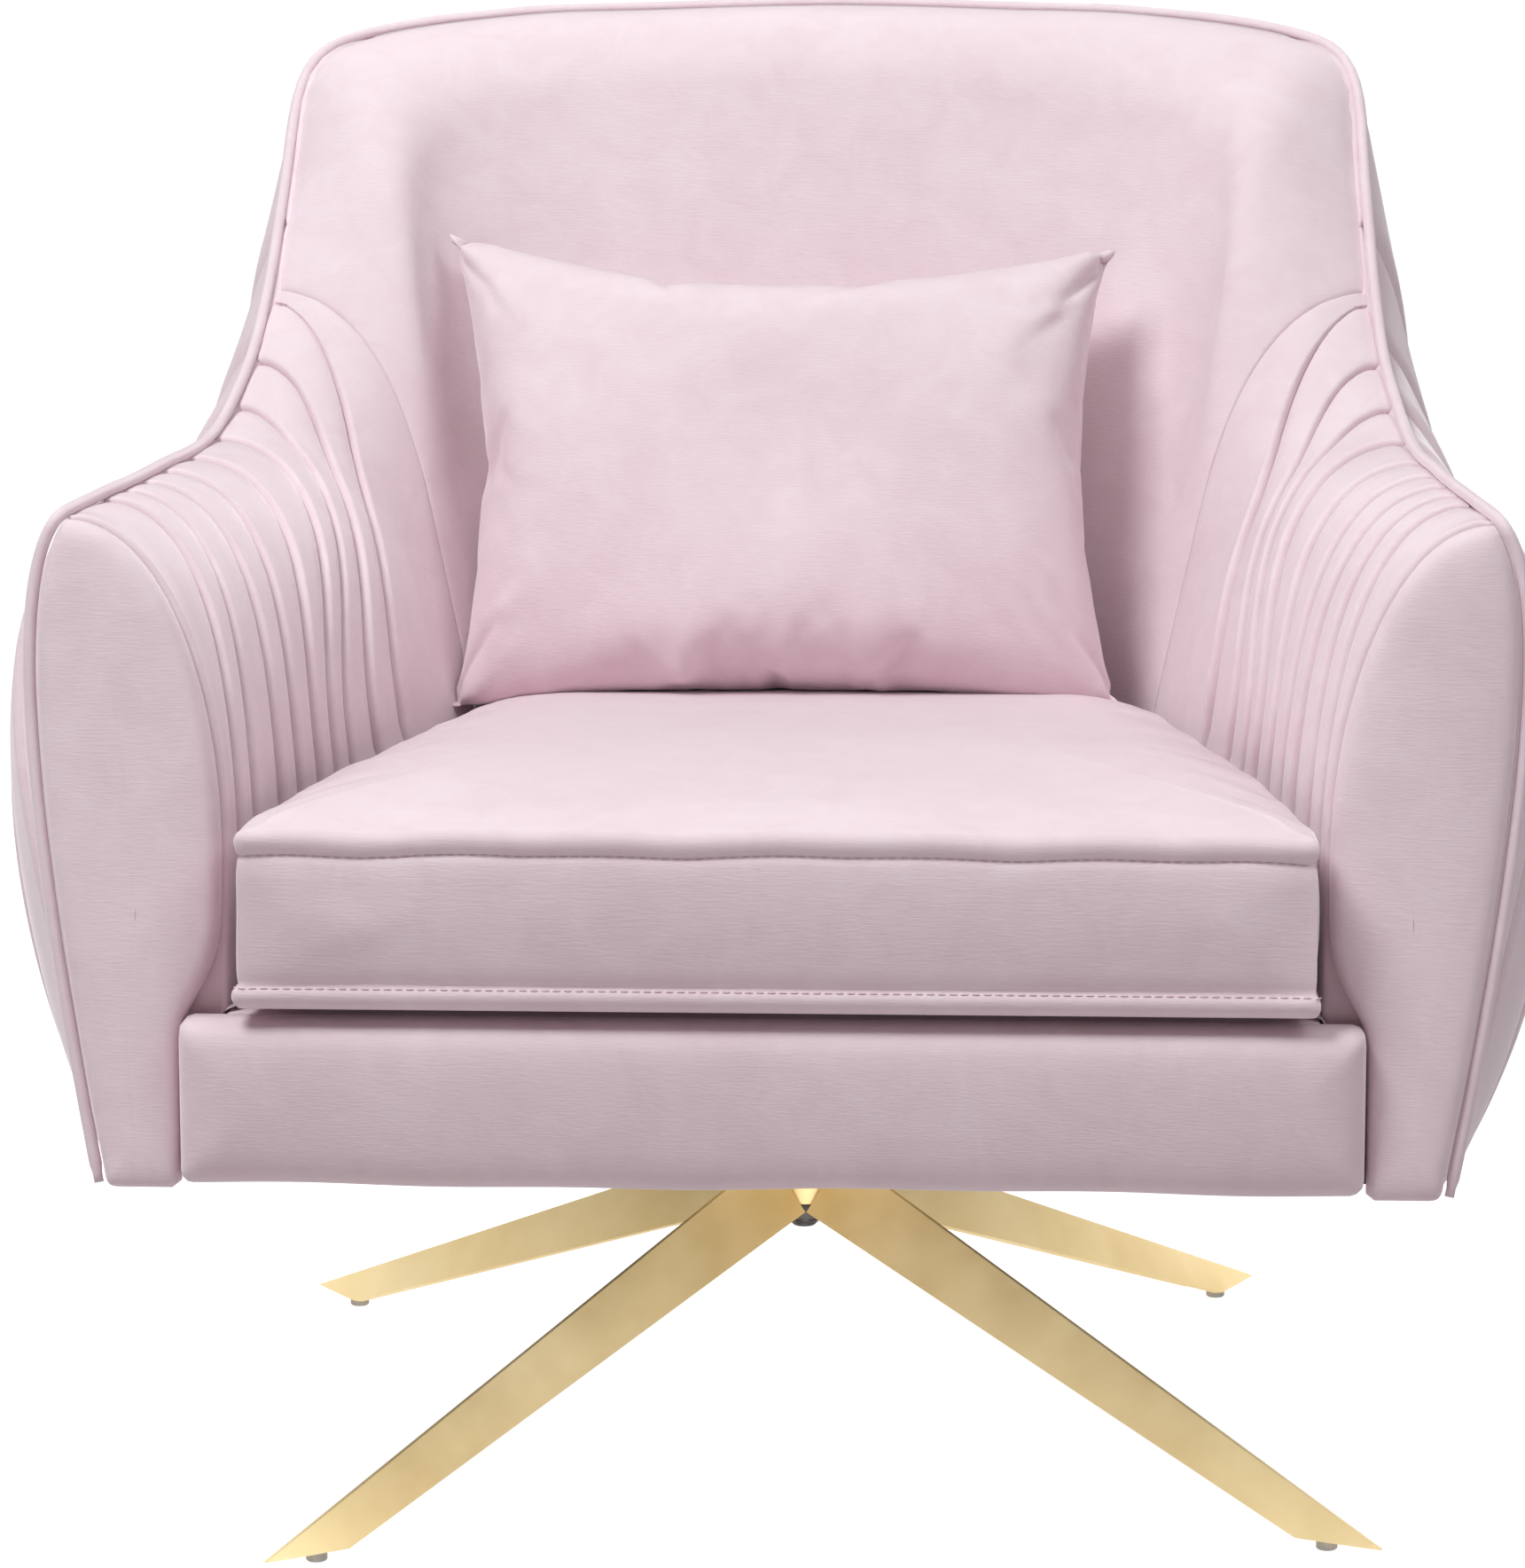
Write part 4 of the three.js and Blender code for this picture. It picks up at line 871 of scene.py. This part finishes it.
def zinc_steel(name, dark, light, rough):
    """Zinc-plated mild steel, rolled: a cool grey with faint bloom from the plating bath."""
    m = blank(name)
    at = add(m, "ShaderNodeTexCoord").outputs["Object"]
    bloom = add(m, "ShaderNodeTexNoise", inputs={"Vector": at, "Scale": 60.0, "Detail": 5.0, "Roughness": 0.65})
    grit = add(m, "ShaderNodeTexNoise", inputs={"Vector": at, "Scale": 1500.0, "Detail": 2.0})
    bump = add(m, "ShaderNodeBump", inputs={"Height": grit.outputs["Fac"], "Strength": 0.1, "Distance": 0.0002})
    shader = add(
        m,
        "ShaderNodeBsdfPrincipled",
        inputs={
            "Base Color": ramp(m, bloom.outputs["Fac"], [(0.3, dark), (0.7, light)]),
            "Metallic": 1.0,
            "Roughness": grey(m, bloom.outputs["Fac"], rough - 0.06, rough + 0.08, 0.3, 0.7),
            "Normal": bump.outputs[0],
        },
    )
    add(m, "ShaderNodeOutputMaterial", inputs={"Surface": shader.outputs[0]})
    return m


def timber(name, stretch, dark, light):
    """Sawn softwood and birch ply, left bare: growth rings drawn out along the board, dry and matt."""
    m = blank(name)
    at = add(m, "ShaderNodeTexCoord").outputs["Object"]
    along = add(m, "ShaderNodeMapping", inputs={"Vector": at, "Scale": stretch})
    rings = add(
        m,
        "ShaderNodeTexWave",
        {"wave_type": "BANDS", "bands_direction": "Z"},
        {"Vector": along.outputs[0], "Scale": 40.0, "Distortion": 5.0, "Detail": 3.0, "Detail Scale": 1.5},
    )
    pores = add(m, "ShaderNodeTexNoise", inputs={"Vector": along.outputs[0], "Scale": 900.0, "Detail": 3.0})
    bump = add(m, "ShaderNodeBump", inputs={"Height": pores.outputs["Fac"], "Strength": 0.25, "Distance": 0.0003})
    shader = add(
        m,
        "ShaderNodeBsdfPrincipled",
        inputs={
            "Base Color": ramp(m, rings.outputs["Fac"], [(0.0, dark), (1.0, light)]),
            "Roughness": grey(m, pores.outputs["Fac"], 0.62, 0.8, 0.3, 0.7),
            "Normal": bump.outputs[0],
        },
    )
    add(m, "ShaderNodeOutputMaterial", inputs={"Surface": shader.outputs[0]})
    return m


def felted_lining(name, dark, light):
    """Non-woven polypropylene lining: pressed fibres with the dimple grid of the bonding roller."""
    m = blank(name)
    at = add(m, "ShaderNodeTexCoord").outputs["Object"]
    fibres = noise(m, at, 420.0, 5.0, 0.7)
    spread = {"Vector": at, "Scale": 400.0, "Randomness": 0.1}
    dimples = add(m, "ShaderNodeTexVoronoi", {"distance": "CHEBYCHEV"}, spread)
    parts = {0: dimples.outputs["Distance"], 1: 0.7, 2: fibres.outputs["Fac"]}
    mix = add(m, "ShaderNodeMath", {"operation": "MULTIPLY_ADD"}, parts)
    bump = add(m, "ShaderNodeBump", inputs={"Height": mix.outputs[0], "Strength": 0.5, "Distance": 0.0005})
    shader = add(
        m,
        "ShaderNodeBsdfPrincipled",
        inputs={
            "Base Color": ramp(m, fibres.outputs["Fac"], [(0.3, dark), (0.7, light)]),
            "Roughness": 0.92,
            "Specular IOR Level": 0.25,
            "Normal": bump.outputs[0],
        },
    )
    add(m, "ShaderNodeOutputMaterial", inputs={"Surface": shader.outputs[0]})
    return m


def moulded_nylon(name, dark, light):
    """Moulded nylon: satin off-white plastic with a fine spark-eroded texture, scuffed where it slides."""
    m = blank(name)
    at = add(m, "ShaderNodeTexCoord").outputs["Object"]
    texture = add(m, "ShaderNodeTexNoise", inputs={"Vector": at, "Scale": 1600.0, "Detail": 3.0})
    scuffs = add(m, "ShaderNodeTexNoise", inputs={"Vector": at, "Scale": 150.0, "Detail": 5.0, "Roughness": 0.7})
    bump = add(m, "ShaderNodeBump", inputs={"Height": texture.outputs["Fac"], "Strength": 0.2, "Distance": 0.0002})
    shader = add(
        m,
        "ShaderNodeBsdfPrincipled",
        inputs={
            "Base Color": ramp(m, scuffs.outputs["Fac"], [(0.35, dark), (0.65, light)]),
            "Roughness": grey(m, scuffs.outputs["Fac"], 0.38, 0.6, 0.3, 0.7),
            "Normal": bump.outputs[0],
        },
    )
    add(m, "ShaderNodeOutputMaterial", inputs={"Surface": shader.outputs[0]})
    return m


def sewing_thread(name):
    """Twisted polyester thread, dyed to the cloth: a tight pale strand with a slight gloss."""
    m = blank(name)
    at = add(m, "ShaderNodeTexCoord").outputs["Object"]
    twist = add(m, "ShaderNodeTexNoise", inputs={"Vector": at, "Scale": 1800.0, "Detail": 2.0})
    bump = add(m, "ShaderNodeBump", inputs={"Height": twist.outputs["Fac"], "Strength": 0.3, "Distance": 0.0002})
    shader = add(
        m,
        "ShaderNodeBsdfPrincipled",
        inputs={
            "Base Color": ramp(m, twist.outputs["Fac"], [(0.3, "#BF9AA6"), (0.7, "#D6B7C2")]),
            "Roughness": 0.6,
            "Normal": bump.outputs[0],
        },
    )
    add(m, "ShaderNodeOutputMaterial", inputs={"Surface": shader.outputs[0]})
    return m


FINISHES["velvet"] = velvet("brushed cotton velvet, nap across", (0.16, 0.4, 1.5))
FINISHES["brass"] = brushed_brass("brushed brass plating")
FINISHES["zinc"] = zinc_steel("zinc-plated steel", "#7E8185", "#9A9DA0", 0.42)
FINISHES["dark steel"] = zinc_steel("blackened steel", "#3A3836", "#5A5652", 0.4)
FINISHES["spring wire"] = zinc_steel("oil-tempered spring wire", "#4A4B4E", "#6A6B6E", 0.35)
FINISHES["softwood"] = timber("sawn pine", (0.06, 1.0, 1.0), "#B98F5B", "#D9B983")
FINISHES["ply"] = timber("birch plywood", (0.3, 0.3, 1.4), "#C19A66", "#DDBF8E")
FINISHES["lining"] = felted_lining("non-woven lining", "#1C1C1E", "#2E2E31")
FINISHES["deck cloth"] = felted_lining("deck cloth", "#B9A3AB", "#CDBAC1")
FINISHES["nylon"] = moulded_nylon("moulded nylon glide", "#BDBBB8", "#D4D2CF")
FINISHES["thread"] = sewing_thread("dyed polyester thread")

CAD_FINISH = {
    "leg_": "brass", "foot_plate_": "brass", "column": "brass", "base_plate": "brass", "glide_": "nylon",
    "lower_swivel_plate": "zinc", "upper_swivel_plate": "zinc", "bearing_ring": "zinc", "plate_bolt_": "zinc",
    "spindle_": "dark steel", "seat_spring_": "spring wire", "front_rail": "softwood", "rear_rail": "softwood",
    "side_rail_": "softwood", "cross_slat_": "softwood", "arm_ply_": "ply", "back_ply": "ply",
}


def dress_cad_nodes():
    for name, node in NODES.items():
        for start, finish in CAD_FINISH.items():
            if name.startswith(start):
                node.data.materials.clear()
                node.data.materials.append(FINISHES[finish])
        if name.startswith(("leg_", "column", "base_plate", "foot_plate_")):
            weld = node.modifiers.new("joined corners", "WELD")
            weld.merge_threshold = 1e-5
            edge = node.modifiers.new("rolled edges", "BEVEL")
            edge.width = 0.0009 if name.startswith("leg_") else 0.0004
            edge.segments = 3
            edge.limit_method = "ANGLE"
            edge.angle_limit = math.radians(28)
            node.data.polygons.foreach_set("use_smooth", [True] * len(node.data.polygons))
            even_out = node.modifiers.new("flat faces shaded as one", "WEIGHTED_NORMAL")
            even_out.mode = "FACE_AREA"
            even_out.weight = 50


# ---- stitches -------------------------------------------------------------------------------------
def stitch_tree():
    """Geometry nodes: a short thread at each pitch along a curve, sunk at both ends."""
    tree = bpy.data.node_groups.new("row of stitches", "GeometryNodeTree")
    for name, kind, value in (
        ("Curve", "NodeSocketGeometry", None),
        ("Pitch", "NodeSocketFloat", 0.006),
        ("Length", "NodeSocketFloat", 0.0042),
        ("Thickness", "NodeSocketFloat", 0.0006),
        ("Thread", "NodeSocketMaterial", None),
    ):
        socket = tree.interface.new_socket(name, in_out="INPUT", socket_type=kind)
        if value is not None:
            socket.default_value = value
    tree.interface.new_socket("Stitches", in_out="OUTPUT", socket_type="NodeSocketGeometry")
    source = add(tree, "NodeGroupInput").outputs
    spread = add(
        tree, "GeometryNodeCurveToPoints", {"mode": "LENGTH"}, {"Curve": source["Curve"], "Length": source["Pitch"]}
    )
    half = add(tree, "ShaderNodeMath", {"operation": "MULTIPLY"}, {0: source["Length"], 1: 0.5}).outputs[0]
    low = add(tree, "ShaderNodeMath", {"operation": "MULTIPLY"}, {0: source["Length"], 1: -0.5}).outputs[0]
    tail = add(tree, "ShaderNodeCombineXYZ", inputs={"Z": low})
    head = add(tree, "ShaderNodeCombineXYZ", inputs={"Z": half})
    line = add(tree, "GeometryNodeCurvePrimitiveLine", inputs={"Start": tail.outputs[0], "End": head.outputs[0]})
    finer = add(tree, "GeometryNodeResampleCurve", inputs={"Curve": line.outputs[0], "Count": 5})
    across = add(tree, "GeometryNodeSplineParameter")
    bow = add(tree, "ShaderNodeFloatCurve", inputs={"Value": across.outputs["Factor"]})
    points = bow.mapping.curves[0].points
    points[0].location = (0, 0.45)
    points[1].location = (1, 0.45)
    points.new(0.5, 1.0)
    thick = add(tree, "ShaderNodeMath", {"operation": "MULTIPLY"}, {0: bow.outputs[0], 1: source["Thickness"]})
    ring = add(tree, "GeometryNodeCurvePrimitiveCircle", inputs={"Resolution": 5, "Radius": 1.0})
    sized = add(tree, "GeometryNodeSetCurveRadius", inputs={"Curve": finer.outputs[0], "Radius": thick.outputs[0]})
    body = add(
        tree,
        "GeometryNodeCurveToMesh",
        inputs={"Curve": sized.outputs[0], "Profile Curve": ring.outputs["Curve"], "Fill Caps": True},
    )
    if "Scale" in body.inputs:
        tree.links.new(thick.outputs[0], body.inputs["Scale"])
    placed = add(
        tree,
        "GeometryNodeInstanceOnPoints",
        inputs={
            "Points": spread.outputs["Points"],
            "Instance": body.outputs[0],
            "Rotation": spread.outputs["Rotation"],
        },
    )
    real = add(tree, "GeometryNodeRealizeInstances", inputs={"Geometry": placed.outputs[0]})
    dyed = add(tree, "GeometryNodeSetMaterial", inputs={"Geometry": real.outputs[0], "Material": source["Thread"]})
    add(tree, "NodeGroupOutput", inputs={"Stitches": dyed.outputs[0]})
    return tree


STITCHES = None


def stitches(name, path, body, closed=False, pitch=6.0, length=4.2, thickness=0.55):
    """A row of top stitches along a path in millimetres."""
    global STITCHES
    STITCHES = STITCHES or stitch_tree()
    curve = bpy.data.curves.new(name, "CURVE")
    curve.dimensions = "3D"
    spline = curve.splines.new("POLY")
    spline.points.add(len(path) - 1)
    for point, p in zip(spline.points, path):
        point.co = (*(np.asarray(p) * MM), 1)
    spline.use_cyclic_u = closed
    row = bpy.data.objects.new(name + " path", curve)
    bpy.context.scene.collection.objects.link(row)
    sewing = row.modifiers.new("row of stitches", "NODES")
    sewing.node_group = STITCHES
    sizes = {"Pitch": pitch * MM, "Length": length * MM, "Thickness": thickness * MM, "Thread": FINISHES["thread"]}
    for socket in STITCHES.interface.items_tree:
        if socket.item_type == "SOCKET" and socket.in_out == "INPUT" and socket.name in sizes:
            sewing[socket.identifier] = sizes[socket.name]
    mesh = bpy.data.meshes.new_from_object(row.evaluated_get(bpy.context.evaluated_depsgraph_get()))
    bpy.data.objects.remove(row)
    mesh.name = name
    mesh.shade_smooth()
    piece = bpy.data.objects.new(name, mesh)
    bpy.context.scene.collection.objects.link(piece)
    if not mesh.materials:
        mesh.materials.append(FINISHES["thread"])
    piece["plan"] = json.dumps([body, "velvet", []])
    return piece


def arm_seam_stitches(side):
    v = np.linspace(0.8, 0.985, 60)
    line = []
    for k in v:
        s = section(SEAM - 5.5)
        p = s.place(s.inner(k))
        q = section(SEAM - 5.0)
        ahead = q.place(q.inner(k)) - p
        up = s.place(s.inner(min(k + 0.004, 1))) - p
        out = np.cross(ahead, up)
        out /= np.linalg.norm(out)
        if out @ (np.array([0, -60, 620]) - p) < 0:
            out = -out
        line.append(p + out * (-0.1))
    line = np.array(line) * np.array([side, 1, 1])
    return line


# ---- parts under the seat -------------------------------------------------------------------------
def deck_cover():
    plan = even(seat_plan(-329, 1.2, 0), 260)
    middle = np.stack([np.clip(plan[:, 0], -120, 120) * 0.9, np.full(len(plan), -110.0)], -1)
    rows = [(1, 301), (0.5, 301), (0.01, 301), (0, 303), (0, 316), (0.012, 319), (0.04, 320.4), (0.12, 321)]
    rows += [(0.3, 321.6), (0.6, 322.1), (1, 322.4)]
    grid = np.array([np.column_stack([plan + (middle - plan) * f, np.full(len(plan), z)]) for f, z in rows])
    faces = tube_faces(len(grid), grid.shape[1])
    return make_piece(
        "deck_cover", grid.reshape(-1, 3), faces, "seat", ["deck_pad"], "lining", "deck cloth", sharp=60
    )


def dust_cloth():
    """Lining stapled under the wooden frame, round the top plate: it hangs a little between the rails."""
    rail_front, hole_half, height, sag, staples = -348.5, 114.0, 230.3, 2.4, 38
    hem = []
    for at in np.linspace(FRONT + 6, LAST, 90):
        s = section(at)
        p = s.place(s.outer(1, 19.0 if at > FRONT + 12 else 21.0))
        hem.append((p[0], max(p[1], rail_front)))
    hem = np.array(hem)
    hem = even(np.vstack([hem, hem[-2::-1] * np.array([-1, 1])]), 240)
    angle = np.arctan2(hem[:, 1], hem[:, 0])
    reach = hole_half / np.maximum(np.abs(np.cos(angle)), np.abs(np.sin(angle)))
    hole = np.column_stack([reach * np.cos(angle), reach * np.sin(angle)])
    run = np.r_[0, np.cumsum(np.linalg.norm(np.diff(np.vstack([hem, hem[:1]]), axis=0), axis=1))][:-1]
    rows = []
    for f in np.linspace(0, 1, 19):
        flat = hem + (hole - hem) * f
        hang = sag * math.sin(math.pi * f) + 0.5 * (1 - f) ** 4 * (1 - np.cos(run / staples * 2 * math.pi)) / 2
        rows.append(np.column_stack([flat, height - hang]))
    grid = np.array(rows)
    area = 0.0
    for loop, sign in ((hem, 1), (hole, -1)):
        area += sign * 0.5 * abs(np.sum(loop[:, 0] * np.roll(loop[:, 1], -1) - loop[:, 1] * np.roll(loop[:, 0], -1)))
    size = np.ptp(hem, axis=0) / 1000
    faces = tube_faces(len(grid), grid.shape[1])
    piece = make_piece("dust_cloth", grid.reshape(-1, 3), faces, "seat", ["dust_cover"], "lining", "lining")
    return piece, size, area / 1e6


# ---- building -------------------------------------------------------------------------------------
dress_cad_nodes()
pads = {}
for side, word in ((1, "left"), (-1, "right")):
    pads[f"arm_cover_{word}"] = (arm_cover(f"arm_cover_{word}", side, f"arm_pad_{word}"), 0.85)
    pads[f"side_cover_{word}"] = (side_cover(f"side_cover_{word}", side, f"side_panel_{word}"), 0.6)
    pads[f"arm_leaf_{word}"] = (arm_front(f"arm_leaf_{word}", side, f"arm_front_{word}"), 0.8)
pads["back_cover"] = (back_cover(), 0.8)
pads["outer_back_cover"] = (outer_back(), 0.5)
pads["front_border_cover"] = (front_border(), 0.7)
pads["deck_cover"] = (deck_cover(), 0.7)
pads["box_cushion"] = (seat_cushion(), 0.85)
pads["lumbar_pillow"] = (lumbar_pillow(), 0.75)
trims = [welt()]
for side, word in ((1, "left"), (-1, "right")):
    trims.append(stitches(f"arm_seam_stitches_{word}", arm_seam_stitches(side), "seat", pitch=5.2, length=3.4))
for k, (line, out, closed) in enumerate(STITCH_LINES["seat_cushion"]):
    raised = line + np.column_stack([out, np.zeros(len(out))]) * 0.25
    trims.append(stitches(f"cushion_stitches_{k + 1}", raised, "seat_cushion", closed=closed))

for piece, fill in pads.values():
    settle(piece)
under, cut, area = dust_cloth()
settle(under)
for piece in trims:
    settle(piece)

# ---- stage, light and camera ----------------------------------------------------------------------
def seen_brighter(owner, as_light, as_seen):
    """Strength of a glowing stage surface: one value as a light, another seen directly or in the brass."""
    ray = add(owner, "ShaderNodeLightPath")
    eye, mirror = ray.outputs["Is Camera Ray"], ray.outputs["Is Glossy Ray"]
    seen = add(owner, "ShaderNodeMath", {"operation": "MAXIMUM"}, {0: eye, 1: mirror})
    glow = add(owner, "ShaderNodeMapRange", inputs={"Value": seen.outputs[0], "To Min": as_light, "To Max": as_seen})
    return glow.outputs["Result"]


def stage():
    mesh = bpy.data.meshes.new("floor")
    rim = [(3.4 * math.cos(a), 3.4 * math.sin(a), 0) for a in np.linspace(0, 2 * math.pi, 96, endpoint=False)]
    mesh.from_pydata(rim, [], [tuple(range(96))])
    floor = bpy.data.objects.new("floor", mesh)
    bpy.context.scene.collection.objects.link(floor)
    paper = blank("white studio paper")
    # the paper is lit from below as well, so the shade under the chair is faint
    shader = add(
        paper,
        "ShaderNodeBsdfPrincipled",
        inputs={
            "Base Color": colour("#8C8A8A"),
            "Roughness": 0.9,
            "Emission Color": colour("#FFFFFF"),
            "Emission Strength": seen_brighter(paper, 0.3, 0.93),
        },
    )
    add(paper, "ShaderNodeOutputMaterial", inputs={"Surface": shader.outputs[0]})
    mesh.materials.append(paper)


def softbox(name, at, aim, size, power, tint="#FFFFFF"):
    lamp = bpy.data.lights.new(name, "AREA")
    lamp.shape = "RECTANGLE"
    lamp.size, lamp.size_y = size
    lamp.energy = power
    lamp.color = colour(tint)[:3]
    thing = bpy.data.objects.new(name, lamp)
    bpy.context.scene.collection.objects.link(thing)
    thing.location = at
    thing.rotation_euler = (Vector(aim) - Vector(at)).to_track_quat("-Z", "Y").to_euler()
    return thing


def studio():
    world = bpy.data.worlds.new("white cove")
    bpy.context.scene.world = world
    world.use_nodes = True
    tree = world.node_tree
    cove = tree.nodes["Background"]
    cove.inputs["Color"].default_value = colour("#FFFFFF")
    # the lit cove seen behind the chair and in the brass is brighter than the room that lights it
    tree.links.new(seen_brighter(tree, 0.15, 1.02), cove.inputs["Strength"])
    softbox("key from the upper left", (-1.4, -1.3, 3.5), (0, 0, 0.5), (1.3, 1.3), 106, "#F3FFFC")
    softbox("fill from the upper right", (1.9, -1.2, 3.0), (0, 0, 0.5), (1.3, 1.3), 28, "#F3FFFC")
    softbox("overhead", (0, -0.2, 3.4), (0, 0, 0.4), (2.4, 2.0), 18, "#F3FFFC")
    softbox("low card in front", (-0.5, -3.4, 0.3), (0, 0, 0.12), (2.6, 0.6), 7, "#FFEFF3")
    # long low cards that show in reflections but give no diffuse light; they lift the brass most
    for place, at in (("front", (0.45, -2.6, 0.25)), ("rear", (0.4, 2.9, 0.5))):
        card = softbox(f"card for the brass, {place}", at, (0, 0, 0.08), (3.0, 0.5), 46)
        card.visible_diffuse = False
    softbox("wash on the floor behind", (0, 2.7, 2.4), (0, 2.9, 0), (3.4, 1.6), 60)
    view = bpy.context.scene.view_settings
    view.view_transform = "Standard"
    view.look = "None"


def camera():
    lens = bpy.data.cameras.new("camera")
    lens.sensor_fit = "AUTO"
    lens.sensor_width = 36
    lens.lens = 126.45
    lens.shift_x = -0.0118
    lens.shift_y = 0.0
    lens.clip_start = 0.1
    lens.dof.use_dof = False
    seen = bpy.data.objects.new("camera", lens)
    bpy.context.scene.collection.objects.link(seen)
    seen.location = (0.163, -3.225, 0.9075)
    ahead = Vector((-0.054, 0.986, -0.159)).normalized()
    turn = ahead.to_track_quat("-Z", "Y").to_matrix().to_4x4() @ Matrix.Rotation(-0.0016, 4, "Z")
    seen.rotation_euler = turn.to_euler()
    bpy.context.scene.camera = seen


stage()
studio()
camera()
